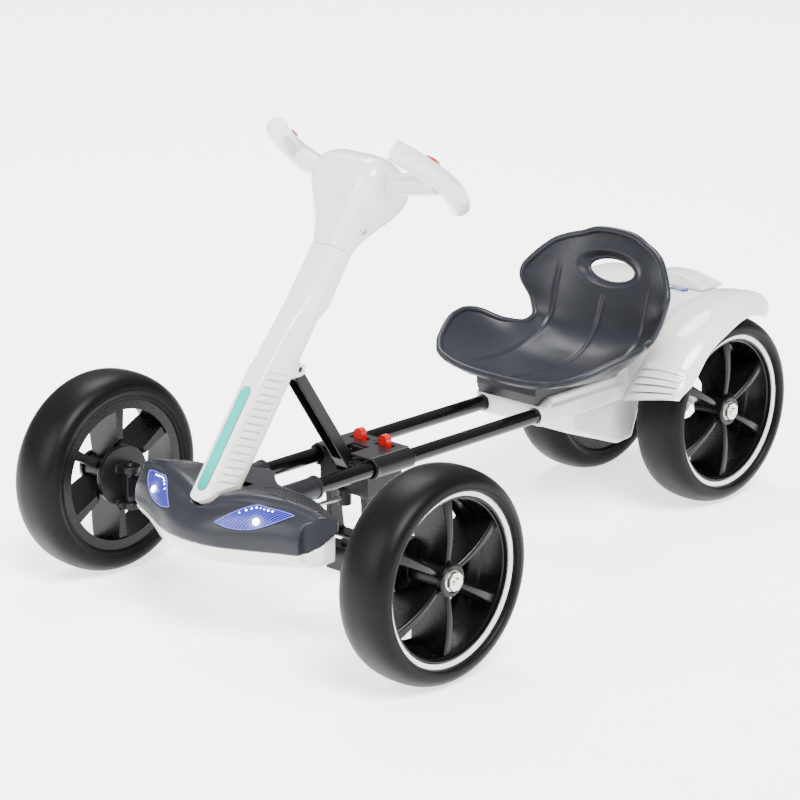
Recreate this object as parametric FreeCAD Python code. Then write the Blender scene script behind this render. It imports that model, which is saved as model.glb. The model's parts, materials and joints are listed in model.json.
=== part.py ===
import FreeCAD, Part
import math
import os
from FreeCAD import Vector as V

# Kids electric go-kart, millimetres. The floor is z = 0, the front faces -Y and +X is the kart's left side.
# Lengths named *_Y count rearwards from the front axle, or from the rear axle where the name starts with
# BODY or SEAT. Heights named *_Z, *_LOW and *_HIGH count upwards from the axles.

# Wheels and track
WHEELBASE = 732.0
TYRE_R = 127.0
TYRE_HALF_W = 40.0
TYRE_SEAT_R = TYRE_R - 31.0
TRIM_INNER_R = TYRE_SEAT_R + 1.1
TRIM_WIDTH = 5.4
TRIM_OUTER_R = TRIM_INNER_R + TRIM_WIDTH
TRIM_FACE = 28.7
TRIM_T = 3.0
FRONT_WHEEL_X = 276.9
REAR_WHEEL_X = 105.1
HUB_R = 19.5
HUB_INNER = -17.0
RIM_INNER = -31.0
RIM_WALL = 4.0
BLADES = 6
BLADE_ROOT_T = 7.5
BLADE_TIP_T = 14.0
AXLE_R = 5.0
NUT_R = 11.3
NUT_T = 6.0
RUN_GAP = 0.1
FIT_GAP = 0.3

# Rails
RAIL_R = 9.5
RAIL_X = 44.2
RAIL_Z = 38.5
RAIL_FRONT_Y = -5.0
BODY_RAIL_END_Y = -266.0
SOCKET_R = 13.5
SOCKET_REAR_Y = 48.0

# Front axle
KINGPIN_X = 232.0
KINGPIN_R = 4.0
BARREL_R = 8.0
BARREL_HALF = 18.0
BARREL_MID = -12.0
BEAM_HALF_Y = 12.0
BEAM_LOW, BEAM_HIGH = -23.0, 1.0
BLOCK_IN, BLOCK_OUT = 122.0, 162.0
PLATE_R = 38.0
PLATE_IN, PLATE_OUT = 243.0, 251.0
LUG_T = 9.0

# Column, its fold and its strut. s runs up the column's front face and n stands out of that face.
COLUMN_ANGLE = 54.0
COLUMN_Y, COLUMN_Z = -92.0, 73.0
COLUMN_HALF_W = 26.7
COLUMN_FACE, COLUMN_SIDE = -4.0, -28.9
COLUMN_TOP = 313.0
COLUMN_END = -27.0
COLUMN_TIP_R = 17.0
STRIP_LOW, STRIP_TOP = -13.0, 119.0
STRIP_HALF_W = 7.0
RIB_FIRST, RIB_PITCH, RIBS = 9.0, 9.35, 16
HINGE_Y = -41.8
HINGE_PIN_R = 5.0
HINGE_PIN_HALF = COLUMN_HALF_W + 12.0
STRUT_FOOT_Y = 142.0
STRUT_RISE = 138.2
STRUT_HALF_W = 10.5
STRUT_HALF_D = 7.5
STRUT_WALL = 2.5
PIN_R = 3.5
FOLD_ANGLE = 36.0
FOLD_GAP = 3.0

# Steering head
HEAD_GAP = 0.6
STEER_N = -33.0
STEER_PIN_R = 9.0
WHEEL_ARC_R = 118.0
WHEEL_ARC_N = -33.0
GRIP_S = 424.0
GRIP_R = 13.5
ARM_R = 13.5

# Nose
BASE_HALF_X = 151.0
LAMP_T = 3.0

# Bracket on the rails
SLEEVE_R = 12.6
COLLAR_R = 13.6
SLEEVE_FRONT_Y, SLEEVE_REAR_Y = 139.0, 208.0
BOX_FRONT_Y, BOX_REAR_Y = 139.0, 200.0
BOX_HALF_X = 40.0
BOX_LOW = 0.0
DECK_Z = 51.0
DECK_T = 2.0
CHEEK_IN, CHEEK_OUT = 12.0, 18.0
FOOT_DRIFT = 14.0
GUIDE_FRONT_Y = 15.0
GUIDE_R = 3.0
GUIDE_Z = BOX_LOW - 6.0
LEVER_X = 21.0
LEVER_Y = 190.0
LEVER_HALF_W, LEVER_HALF_D, LEVER_RISE = 7.0, 4.5, 13.0

# Seat
SEAT_T = 6.0

# Rear body
BODY_HALF_X = 58.0
BODY_FRONT_Y = -291.0
BODY_LOW = 25.0
BODY_ARM_HIGH = 62.0
SHELF_Z = 141.0
FENDER_T = 3.0
LOUVRES = 5
HANGER_IN, HANGER_OUT = 44.0, 56.0
BATTERY_HALF_X = 42.0

FRONT = -WHEELBASE / 2
REAR = WHEELBASE / 2
AXLE_Z = TYRE_R
X_AXIS = V(1, 0, 0)
UP = math.radians(COLUMN_ANGLE)
COLUMN_DIR = V(0, math.cos(UP), math.sin(UP))
FACE_DIR = V(0, -math.sin(UP), math.cos(UP))


def at(x, y, z):
    """Point given by its distance behind the front axle and its height above it."""
    return V(x, FRONT + y, AXLE_Z + z)


def rear_at(x, y, z):
    """Point given by its distance behind the rear axle and its height above it."""
    return V(x, REAR + y, AXLE_Z + z)


def on_column(x, s, n):
    """Point given along the column."""
    return at(x, COLUMN_Y, COLUMN_Z) + COLUMN_DIR * s + FACE_DIR * n


def mirrored(shape):
    return shape.mirror(V(0, 0, 0), X_AXIS)


def polygon_face(points):
    return Part.Face(Part.makePolygon(points + points[:1]))


def box(low, high):
    size = high - low
    return Part.makeBox(size.x, size.y, size.z, low)


def rod(start, end, radius):
    return Part.makeCylinder(radius, (end - start).Length, start, end - start)


def fused(shapes):
    whole = shapes[0]
    for shape in shapes[1:]:
        whole = whole.fuse(shape)
    return whole.removeSplitter()


def rounded_wire(corners, cuts):
    """Closed polygon whose corners are rounded; each cut is how far its arc reaches along both edges."""
    count = len(corners)
    ends = []
    for index, (corner, cut) in enumerate(zip(corners, cuts)):
        back = (corners[index - 1] - corner).normalize()
        ahead = (corners[(index + 1) % count] - corner).normalize()
        half = back.getAngle(ahead) / 2
        middle = (back + ahead).normalize() * (cut / math.cos(half) - cut * math.tan(half))
        ends.append((corner + back * cut, corner + middle, corner + ahead * cut))
    edges = []
    for index, (start, middle, end) in enumerate(ends):
        edges.append(Part.Arc(start, middle, end).toShape())
        edges.append(Part.makeLine(end, ends[(index + 1) % count][0]))
    return Part.Wire(edges)


def grid_shell(rows, offsets):
    """Closed shell between a smooth surface through the rows and the same rows moved by their offsets."""
    grids = [rows, [[point + shift for point in row] for row, shift in zip(rows, offsets)]]
    surfaces = []
    for grid in grids:
        surface = Part.BSplineSurface()
        surface.interpolate(grid)
        surfaces.append(surface)
    upper, lower = surfaces
    first_u, last_u, first_v, last_v = upper.bounds()
    low_first_u, low_last_u, low_first_v, low_last_v = lower.bounds()
    walls = [
        Part.makeRuledSurface(upper.uIso(first_u).toShape(), lower.uIso(low_first_u).toShape()),
        Part.makeRuledSurface(upper.uIso(last_u).toShape(), lower.uIso(low_last_u).toShape()),
        Part.makeRuledSurface(upper.vIso(first_v).toShape(), lower.vIso(low_first_v).toShape()),
        Part.makeRuledSurface(upper.vIso(last_v).toShape(), lower.vIso(low_last_v).toShape()),
    ]
    shell = Part.makeShell([upper.toShape(), lower.toShape()] + walls)
    shell.sewShape()
    solid = Part.makeSolid(shell)
    if solid.Volume < 0:
        solid.reverse()
    return solid


def wheel_point(across, radius):
    """Point of a wheel section, with the hub on the X axis and the outer face towards +X."""
    return V(across, 0, radius)


def tyre():
    bead = wheel_point(TRIM_FACE, TRIM_OUTER_R)
    groove = TRIM_FACE - TRIM_T
    shoulder_r = TYRE_R - 22.0
    shoulder = TYRE_HALF_W - 3.7
    half = TYRE_HALF_W * 0.54
    outer, inner = wheel_point(shoulder, shoulder_r), wheel_point(-shoulder, shoulder_r)
    crown = wheel_point(0, TYRE_R)
    edges = [
        Part.makeLine(wheel_point(-shoulder + 4, TYRE_SEAT_R), wheel_point(groove, TYRE_SEAT_R)),
        Part.makeLine(wheel_point(groove, TYRE_SEAT_R), wheel_point(groove, TRIM_OUTER_R)),
        Part.makeLine(wheel_point(groove, TRIM_OUTER_R), bead),
        Part.Arc(bead, wheel_point(shoulder - 2.2, TRIM_OUTER_R + 0.4), outer).toShape(),
        Part.Arc(outer, wheel_point(half, TYRE_R - 6), crown).toShape(),
        Part.Arc(crown, wheel_point(-half, TYRE_R - 6), inner).toShape(),
        Part.makeLine(inner, wheel_point(-shoulder + 4, TYRE_SEAT_R)),
    ]
    return Part.Face(Part.Wire(edges)).revolve(V(0, 0, 0), X_AXIS, 360)


def trim_ring():
    low, high = TRIM_INNER_R, TRIM_OUTER_R - RUN_GAP
    inner, outer = TRIM_FACE - TRIM_T + RUN_GAP, TRIM_FACE
    points = [(inner, low), (outer, low), (outer, high), (inner, high)]
    section = polygon_face([wheel_point(across, radius) for across, radius in points])
    return section.revolve(V(0, 0, 0), X_AXIS, 360)


def blade():
    """One spoke: a deep blade with a bulging outer edge, thin at the hub and flared at the barrel."""
    root, tip = HUB_R - 4, TYRE_SEAT_R - RIM_WALL + 1
    middle = (root + tip) / 2
    outer = Part.Arc(wheel_point(22.5, root), wheel_point(27.0, middle), wheel_point(22.0, tip))
    inner = [(tip, -28.5), (root + 30, -28.5), (root + 14, -15.0), (root, -15.0)]
    corners = [wheel_point(22.0, tip)] + [wheel_point(across, radius) for radius, across in inner]
    corners.append(wheel_point(22.5, root))
    edges = [outer.toShape()]
    edges += [Part.makeLine(a, b) for a, b in zip(corners[:-1], corners[1:])]
    plate = Part.Face(Part.Wire(edges)).extrude(V(0, 2 * BLADE_TIP_T, 0))
    plate.translate(V(0, -BLADE_TIP_T, 0))
    root_y, middle_y, tip_y = BLADE_ROOT_T / 2, BLADE_ROOT_T / 2 + 1, BLADE_TIP_T / 2
    front = Part.Arc(V(-40, root_y, root), V(-40, middle_y, middle), V(-40, tip_y, tip)).toShape()
    back = Part.Arc(V(-40, -tip_y, tip), V(-40, -middle_y, middle), V(-40, -root_y, root)).toShape()
    ends = [
        Part.makeLine(V(-40, tip_y, tip), V(-40, -tip_y, tip)),
        Part.makeLine(V(-40, -root_y, root), V(-40, root_y, root)),
    ]
    flare = Part.Face(Part.Wire([front, ends[0], back, ends[1]])).extrude(V(80, 0, 0))
    solid = plate.common(flare)
    ridges = [e for e in solid.Edges if e.CenterOfMass.x > 20 and e.Length > 40]
    return solid.makeFillet(BLADE_ROOT_T / 2 - 0.6, ridges)


def rim():
    outer_r = TYRE_SEAT_R - RUN_GAP
    inner_r = outer_r - RIM_WALL
    lip = TRIM_FACE - 1.5
    barrel = [
        (RIM_INNER, outer_r), (lip, outer_r), (lip, outer_r - 2), (lip - 4, outer_r - 2.5), (lip - 5, inner_r),
        (-8, inner_r - 0.5), (-10, inner_r - 3), (RIM_INNER, inner_r - 3),
    ]
    section = polygon_face([wheel_point(across, radius) for across, radius in barrel])
    ring = section.revolve(V(0, 0, 0), X_AXIS, 360)
    flange_x = TRIM_FACE - 5
    hub = [
        rod(V(HUB_INNER, 0, 0), V(flange_x, 0, 0), HUB_R - 3),
        rod(V(flange_x, 0, 0), V(TRIM_FACE, 0, 0), HUB_R),
    ]
    parts = [ring] + hub
    for index in range(BLADES):
        spoke = blade()
        spoke.rotate(V(0, 0, 0), X_AXIS, index * 360.0 / BLADES)
        parts.append(spoke)
    bore = rod(V(HUB_INNER - 1, 0, 0), V(TRIM_FACE + 1, 0, 0), AXLE_R + RUN_GAP)
    return fused(parts).cut(bore)


def wheel_nodes():
    """Each wheel is a rim, a tyre and a white trim ring."""
    pieces = {"rim": rim(), "tyre": tyre(), "trim_ring": trim_ring()}
    places = {
        "front_left": (FRONT_WHEEL_X, FRONT, 1),
        "front_right": (FRONT_WHEEL_X, FRONT, -1),
        "rear_left": (REAR_WHEEL_X, REAR, 1),
        "rear_right": (REAR_WHEEL_X, REAR, -1),
    }
    nodes = {}
    for place, (x, y, side) in places.items():
        for piece, shape in pieces.items():
            placed = shape.copy()
            placed.translate(V(x, y, AXLE_Z))
            nodes[piece + "_" + place] = placed if side > 0 else mirrored(placed)
    return nodes


def nut(face_x, axle_y):
    """Eight-sided axle nut standing on a hub's outer face."""
    ring = Part.makePolygon([
        V(face_x, axle_y + NUT_R * math.cos(a), AXLE_Z + NUT_R * math.sin(a))
        for a in [math.radians(22.5 + 45 * k) for k in range(9)]
    ])
    return Part.Face(ring).extrude(V(NUT_T, 0, 0))


def stub_axle():
    face = FRONT_WHEEL_X + TRIM_FACE + FIT_GAP
    shaft = rod(V(PLATE_OUT, FRONT, AXLE_Z), V(face + NUT_T + 1.5, FRONT, AXLE_Z), AXLE_R)
    return fused([shaft, nut(face, FRONT)])


def rear_axle():
    face = REAR_WHEEL_X + TRIM_FACE + FIT_GAP
    end = face + NUT_T + 1.5
    shaft = rod(V(-end, REAR, AXLE_Z), V(end, REAR, AXLE_Z), AXLE_R)
    return fused([shaft, nut(face, REAR), mirrored(nut(face, REAR))])


def knuckle():
    """Round plate with two lugs over and under the kingpin barrel, and the kingpin itself."""
    low, high = BARREL_MID - BARREL_HALF, BARREL_MID + BARREL_HALF
    plate = rod(at(PLATE_IN, 0, 0), at(PLATE_OUT, 0, 0), PLATE_R)
    boss = rod(at(PLATE_OUT, 0, 0), at(FRONT_WHEEL_X + HUB_INNER - 1, 0, 0), HUB_R - 5)
    parts = [plate, boss]
    for base in (low - FIT_GAP - LUG_T, high + FIT_GAP):
        parts.append(box(at(KINGPIN_X, -13, base), at(PLATE_IN + 2, 13, base + LUG_T)))
        parts.append(rod(at(KINGPIN_X, 0, base), at(KINGPIN_X, 0, base + LUG_T), 13))
    overhang = LUG_T + 4
    parts.append(rod(at(KINGPIN_X, 0, low - overhang), at(KINGPIN_X, 0, high + overhang), KINGPIN_R))
    whole = fused(parts)
    return whole.cut(rod(at(PLATE_OUT, 0, 0), at(FRONT_WHEEL_X, 0, 0), AXLE_R))


def front_beam():
    """Cross bar with a kingpin barrel at each end and two bolted blocks."""
    bar = box(at(-1, -BEAM_HALF_Y, BEAM_LOW), at(KINGPIN_X - 2, BEAM_HALF_Y, BEAM_HIGH))
    for low_y, high_y in ((-BEAM_HALF_Y - 1, -7), (7, BEAM_HALF_Y + 1)):
        bar = bar.cut(box(at(KINGPIN_X - 30, low_y, BEAM_LOW - 1), at(KINGPIN_X, high_y, BEAM_HIGH + 1)))
    block = box(at(BLOCK_IN, -BEAM_HALF_Y - 2, BEAM_LOW - 3), at(BLOCK_OUT, BEAM_HALF_Y + 2, BEAM_HIGH + 2))
    middle = (BLOCK_IN + BLOCK_OUT) / 2
    bolt = rod(at(middle, 0, BEAM_HIGH + 2), at(middle, 0, BEAM_HIGH + 6), 7)
    post = rod(at(middle, 0, BEAM_LOW - 20), at(middle, 0, BEAM_LOW - 3), 9)
    low, high = BARREL_MID - BARREL_HALF, BARREL_MID + BARREL_HALF
    barrel = rod(at(KINGPIN_X, 0, low), at(KINGPIN_X, 0, high), BARREL_R)
    side = fused([bar, block, bolt, post, barrel])
    side = side.cut(rod(at(KINGPIN_X, 0, low - 1), at(KINGPIN_X, 0, high + 1), KINGPIN_R + RUN_GAP))
    return fused([side, mirrored(side)])


def six_sided(s, front_half, front, side_half, side, rear_half, rear, cut):
    """Section across the column: a narrow front face, a widest point at each side and a rear face."""
    half_outline = [(front_half, front), (side_half, side), (rear_half, rear)]
    outline = half_outline + [(-x, n) for x, n in reversed(half_outline)]
    return rounded_wire([on_column(x, s, n) for x, n in outline], [cut] * len(outline))


def column_body(gap):
    """The column's outer form grown by a gap, with its half-round lower end and its hinge."""
    # Height, front half width and front, rear half width and rear
    table = [
        (COLUMN_END - 12, 13.5, COLUMN_FACE, 23.5, -42.0),
        (125.0, 13.5, COLUMN_FACE, 23.5, -42.0),
        (170.0, 12.5, -7.5, 23.5, -42.0),
        (200.0, 12.0, -9.8, 23.5, -42.0),
        (228.0, 13.5, -14.0, 23.5, -42.0),
        (246.0, 15.0, -16.4, 23.5, -50.0),
        (272.0, 17.0, -18.0, 23.5, -49.0),
        (COLUMN_TOP, 17.0, -18.4, 23.5, -48.0),
    ]
    rows = []
    for s, front_half, front, rear_half, rear in table:
        side = (COLUMN_HALF_W + gap, COLUMN_SIDE)
        rows.append(six_sided(s, front_half + gap / 2, front + gap, *side, rear_half + gap / 2, rear - gap, 4.0))
    bar = Part.makeLoft(rows, True, True)
    # Seen from the front, the lower end is half round, and it widens upwards.
    end, tip = COLUMN_END - gap, COLUMN_TIP_R + gap
    high = 80
    arc = Part.Arc(on_column(-tip, end + tip, high), on_column(0, end, high), on_column(tip, end + tip, high))
    shoulder = COLUMN_HALF_W + gap + 1
    corners = [(tip, end + tip), (shoulder, end + tip + 22), (shoulder, COLUMN_TOP + 1), (-shoulder, COLUMN_TOP + 1),
               (-shoulder, end + tip + 22), (-tip, end + tip)]
    points = [on_column(x, s, high) for x, s in corners]
    outline = [arc.toShape()] + [Part.makeLine(a, b) for a, b in zip(points[:-1], points[1:])]
    bar = bar.common(Part.Face(Part.Wire(outline)).extrude(FACE_DIR * (-2 * high)))
    half = COLUMN_HALF_W + gap
    hinge = rod(at(-half, HINGE_Y, RAIL_Z), at(half, HINGE_Y, RAIL_Z), 16 + gap)
    low = at(6 - half, HINGE_Y - 24 - gap, RAIL_Z - 8 - gap)
    neck = box(low, at(half - 6, HINGE_Y + 8 + gap, RAIL_Z + 8 + gap))
    return fused([bar, hinge, neck])


def strut_ends():
    """Centres of the strut's foot and head pins: the column's lever arm is as long as the strut."""
    foot = at(0, STRUT_FOOT_Y, RAIL_Z)
    head = at(0, (HINGE_Y + STRUT_FOOT_Y) / 2, RAIL_Z + STRUT_RISE)
    return foot, head


def across(point, low, high, radius):
    """Rod along X through a point of the middle plane."""
    return rod(point + V(low, 0, 0), point + V(high, 0, 0), radius)


def light_strip(gap):
    half = STRIP_HALF_W + gap
    low, high = STRIP_LOW + STRIP_HALF_W, STRIP_TOP - STRIP_HALF_W
    front, back = COLUMN_FACE + 0.6, COLUMN_FACE - 2.4 - gap
    foot = Part.Arc(on_column(-half, low, back), on_column(0, low - half, back), on_column(half, low, back))
    head = Part.Arc(on_column(half, high, back), on_column(0, high + half, back), on_column(-half, high, back))
    edges = [
        foot.toShape(),
        Part.makeLine(on_column(half, low, back), on_column(half, high, back)),
        head.toShape(),
        Part.makeLine(on_column(-half, high, back), on_column(-half, low, back)),
    ]
    return Part.Face(Part.Wire(edges)).extrude(FACE_DIR * (front - back))


def rib_grooves():
    """Thin grooves across both front bevels, lower at the front face than at the sides."""
    front = V(16.9, 0, -10.5)
    rear = V(COLUMN_HALF_W, 0, COLUMN_SIDE)
    out = V(-(rear - front).z, 0, (rear - front).x).normalize()
    grooves = []
    for index in range(RIBS):
        s = RIB_FIRST + index * RIB_PITCH
        corners = []
        for point, drop, lift in ((front, 6, 3), (rear, 0, 3), (rear, 0, -1.4), (front, 6, -1.4)):
            moved = point + out * lift
            corners.append(on_column(moved.x, s - drop, moved.z))
        bar = polygon_face(corners).extrude(COLUMN_DIR * 1.5)
        grooves += [bar, mirrored(bar)]
    return Part.makeCompound(grooves)


def column():
    """Steering column: ribbed bevels, a seat for the light strip, lugs for the strut and hinge pins."""
    body = column_body(0)
    head = strut_ends()[1]
    lugs = []
    for side in (-1, 1):
        inner, outer = sorted((side * CHEEK_IN, side * CHEEK_OUT))
        lugs.append(across(head, inner, outer, 8))
        lugs.append(box(head + V(inner, -21, -8), head + V(outer, 0, 7)))
    body = fused([body] + lugs)
    body = body.cut(across(head, -CHEEK_IN, CHEEK_IN, STRUT_HALF_D + 3))
    body = body.cut(across(head, -COLUMN_HALF_W - 1, COLUMN_HALF_W + 1, PIN_R + RUN_GAP))
    body = body.cut(light_strip(RUN_GAP))
    body = body.cut(rib_grooves())
    hinge = at(0, HINGE_Y, RAIL_Z)
    spindle = steering_spindle(STEER_PIN_R)
    return fused([body, across(hinge, -HINGE_PIN_HALF, HINGE_PIN_HALF, HINGE_PIN_R), spindle])


def steering_spindle(radius):
    """Round post on the column's top that the steering head turns on."""
    return rod(on_column(0, COLUMN_TOP - 4, STEER_N), on_column(0, COLUMN_TOP + 40, STEER_N), radius)


def strut():
    """Channel between the column and the bracket, with a pin through each end."""
    foot, head = strut_ends()
    along = head - foot
    length = along.Length
    along.normalize()
    front = V(0, -along.z, along.y)
    half = V(STRUT_HALF_W, 0, 0)
    depth = front * STRUT_HALF_D
    slab = polygon_face([p - half for p in (foot - depth, foot + depth, head + depth, head - depth)])
    whole = [slab.extrude(half * 2)] + [across(p, -STRUT_HALF_W, STRUT_HALF_W, STRUT_HALF_D) for p in (foot, head)]
    inner = V(STRUT_HALF_W - STRUT_WALL, 0, 0)
    low, high = foot + along * 14, foot + along * (length - 14)
    floor, mouth = front * (STRUT_WALL - STRUT_HALF_D), front * (STRUT_HALF_D + 2)
    hollow = polygon_face([p - inner for p in (low + floor, low + mouth, high + mouth, high + floor)])
    pins = [across(p, 0.5 - CHEEK_OUT, CHEEK_OUT - 0.5, PIN_R) for p in (foot, head)]
    return fused([fused(whole).cut(hollow.extrude(inner * 2))] + pins)


def head_housing():
    # Height, front half width and front, widest half width and place, rear half width and rear, corner cut
    table = [
        (COLUMN_TOP + HEAD_GAP, 17.0, -18.4, COLUMN_HALF_W, COLUMN_SIDE, 23.5, -48.0, 4.0),
        (336.0, 23.0, -11.5, 31.0, -31.0, 27.0, -54.0, 7.5),
        (362.0, 35.0, -1.0, 45.0, -31.0, 37.0, -65.0, 12.5),
        (388.0, 47.0, 7.0, 59.0, -31.0, 47.0, -74.0, 16.0),
        (408.0, 48.0, 8.0, 61.0, -31.0, 48.0, -75.0, 17.0),
        (424.0, 41.0, 0.0, 53.0, -32.0, 40.0, -66.0, 14.0),
        (433.0, 26.0, -14.0, 36.0, -32.0, 25.0, -51.0, 9.0),
    ]
    body = Part.makeLoft([six_sided(*row) for row in table], True, False)
    return body.cut(steering_spindle(STEER_PIN_R + RUN_GAP))


def grip():
    """Grip: an arc of a steering wheel, its front end cut flat, its rear end round, on a stub arm."""
    centre = on_column(0, GRIP_S, WHEEL_ARC_N)
    rearward = FACE_DIR * -1
    half_angle = 37.0
    start = on_column(WHEEL_ARC_R, GRIP_S, WHEEL_ARC_N)
    ring = Part.Face(Part.Wire(Part.makeCircle(GRIP_R, start, rearward)))
    ring.rotate(centre, COLUMN_DIR, -half_angle)
    arc = ring.revolve(centre, COLUMN_DIR, 2 * half_angle)
    turn = math.radians(half_angle)
    rear_end = centre + X_AXIS * (WHEEL_ARC_R * math.cos(turn)) + rearward * (WHEEL_ARC_R * math.sin(turn))
    reach = on_column(WHEEL_ARC_R - 5, GRIP_S - 4, WHEEL_ARC_N)
    arm = rod(on_column(30, 399, WHEEL_ARC_N + 7), reach, ARM_R)
    body = fused([arc, Part.makeSphere(GRIP_R, rear_end), arm])
    body = body.cut(head_housing())
    return body.cut(grip_button(RUN_GAP))


def grip_button(gap):
    """Oval button on top of the grip, just ahead of its middle."""
    turn = math.radians(-12.0)
    centre = on_column(0, GRIP_S, WHEEL_ARC_N)
    spot = centre + X_AXIS * (WHEEL_ARC_R * math.cos(turn)) + FACE_DIR * (-WHEEL_ARC_R * math.sin(turn))
    along = X_AXIS * -math.sin(turn) + FACE_DIR * -math.cos(turn)
    low = spot + COLUMN_DIR * (GRIP_R - 3 - gap)
    oval = Part.Ellipse(low + along * (10 + gap), low + along.cross(COLUMN_DIR) * (5.5 + gap), low)
    return Part.Face(Part.Wire(oval.toShape())).extrude(COLUMN_DIR * (5 + gap))


def nose_section(x, low, bulge, top, rear_y, rear_z, rear_low):
    """Section of the nose at one x: low and top are corners of the front face, bulge lies between them."""
    a, m, b = at(x, *low), at(x, *bulge), at(x, *top)
    c, d = at(x, rear_y, rear_z), at(x, rear_y, rear_low)
    b1 = b + (m - b).normalize() * 11
    b2 = b + (c - b).normalize() * 11
    mid = b + ((b1 - b) + (b2 - b)) * 0.22
    edges = [
        Part.Arc(a, m, b1).toShape(),
        Part.Arc(b1, mid, b2).toShape(),
        Part.makeLine(b2, c),
        Part.makeLine(c, d),
        Part.makeLine(d, a),
    ]
    return Part.Wire(edges)


def nose_whole():
    # x, lower front corner, front bulge, upper front corner, rear y, rear top z, rear bottom z
    table = [
        (0, (-114, -15), (-122, 8), (-94, 54), 14, 60, -15),
        (40, (-109, -15), (-117, 9), (-84, 62), -12, 59, -15),
        (80, (-90, -15), (-101, 13), (-72, 66), -18, 57, -15),
        (115, (-67, -14), (-86, 16), (-58, 62), -19, 52, -14),
        (140, (-60, -11), (-75, 15), (-51, 56), -25, 47, -11),
        (162, (-46, -8), (-60, 18), (-42, 49), -35, 44, -8),
    ]
    rows = [(-row[0],) + row[1:] for row in reversed(table[1:])] + table
    whole = Part.makeLoft([nose_section(*row) for row in rows], True, False)
    # Flat facets cut both ends.
    outline = [(138, -66), (160.5, -34), (160.5, 60), (220, 60), (220, -120), (138, -120)]
    facet = polygon_face([at(x, y, -60) for x, y in outline]).extrude(V(0, 0, 160))
    return whole.cut(facet).cut(mirrored(facet))


def nose_nodes():
    whole = nose_whole()
    # Room for the column's lower end and for its path as it folds back.
    envelope = column_body(FOLD_GAP)
    steps = 7
    for index in range(steps):
        turned = envelope.copy()
        turned.rotate(at(0, HINGE_Y, RAIL_Z), X_AXIS, -FOLD_ANGLE * index / (steps - 1))
        whole = whole.cut(turned)
    for side in (-1, 1):
        x = side * RAIL_X
        whole = whole.cut(rod(at(x, RAIL_FRONT_Y - 6, RAIL_Z), at(x, 80, RAIL_Z), SOCKET_R + RUN_GAP))
    whole = whole.cut(across(at(0, HINGE_Y, RAIL_Z), -HINGE_PIN_HALF - 1, HINGE_PIN_HALF + 1, HINGE_PIN_R + FIT_GAP))
    beam_y = BEAM_HALF_Y + FIT_GAP
    whole = whole.cut(box(at(-200, -beam_y, BEAM_LOW - 6), at(200, beam_y, BEAM_HIGH + FIT_GAP)))
    block_y = beam_y + 2
    for side in (-1, 1):
        inner, outer = sorted((side * (BLOCK_IN - FIT_GAP), side * (BLOCK_OUT + 10)))
        whole = whole.cut(box(at(inner, -block_y, BEAM_LOW - 6), at(outer, block_y, BEAM_HIGH + 7)))
    whole = whole.cut(rod(at(0, BEAM_HALF_Y, GUIDE_Z), at(0, 60, GUIDE_Z), GUIDE_R + FIT_GAP))
    # The white base covers the lower front edge and climbs towards the rear corners.
    split = [(-140, 4.5), (-62, 7), (-48, 14.5), (-34, 29.5), (60, 29.5), (60, -67), (-140, -67)]
    lower = polygon_face([at(-200, y, z) for y, z in split]).extrude(V(400, 0, 0))
    base = whole.common(lower).common(box(at(-BASE_HALF_X, -160, -60), at(BASE_HALF_X, 80, 80)))
    nodes = {"nose_cover": whole.cut(lower), "nose_base": base}
    out = V(0.30, -0.85, 0.43).normalize()
    whole_lamp = headlamp_prism(out).common(nodes["nose_cover"])
    seat = whole_lamp.copy()
    seat.translate(out * -LAMP_T)
    lens = whole_lamp.cut(seat)
    nodes["headlamp_left"] = lens
    nodes["headlamp_right"] = mirrored(lens)
    nodes["nose_cover"] = nodes["nose_cover"].cut(lens).cut(mirrored(lens))
    return nodes


def headlamp_prism(out):
    """Almond outline on the nose's front slope, pointed at both ends and extruded through it."""
    lower = [(38, -111, 33.5), (57, -107, 29.8), (81, -98, 31.2), (101, -87, 38.4), (122, -64, 49)]
    upper = [(122, -64, 49), (108, -69, 52), (92, -76, 54.3), (77, -80, 55.2), (61, -93, 49), (38, -111, 33.5)]
    middle = at(80, -90, 42)
    edges = []
    for table in (lower, upper):
        curve = Part.BSplineCurve()
        points = [at(*row) for row in table]
        curve.interpolate([point - out * ((point - middle).dot(out) + 40) for point in points])
        edges.append(curve.toShape())
    return Part.Face(Part.Wire(edges)).extrude(out * 80)


def rail_nodes():
    rails = []
    sockets = []
    rear = rear_at(0, BODY_RAIL_END_Y, 0).y - FRONT
    for side in (-1, 1):
        x = side * RAIL_X
        rails.append(rod(at(x, RAIL_FRONT_Y, RAIL_Z), at(x, rear, RAIL_Z), RAIL_R))
        sleeve = rod(at(x, RAIL_FRONT_Y - 4, RAIL_Z), at(x, SOCKET_REAR_Y, RAIL_Z), SOCKET_R)
        bore = rod(at(x, RAIL_FRONT_Y, RAIL_Z), at(x, SOCKET_REAR_Y + 1, RAIL_Z), RAIL_R + RUN_GAP)
        sockets.append(sleeve.cut(bore))
    return {"rails": Part.makeCompound(rails), "rail_sockets": Part.makeCompound(sockets)}


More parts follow.
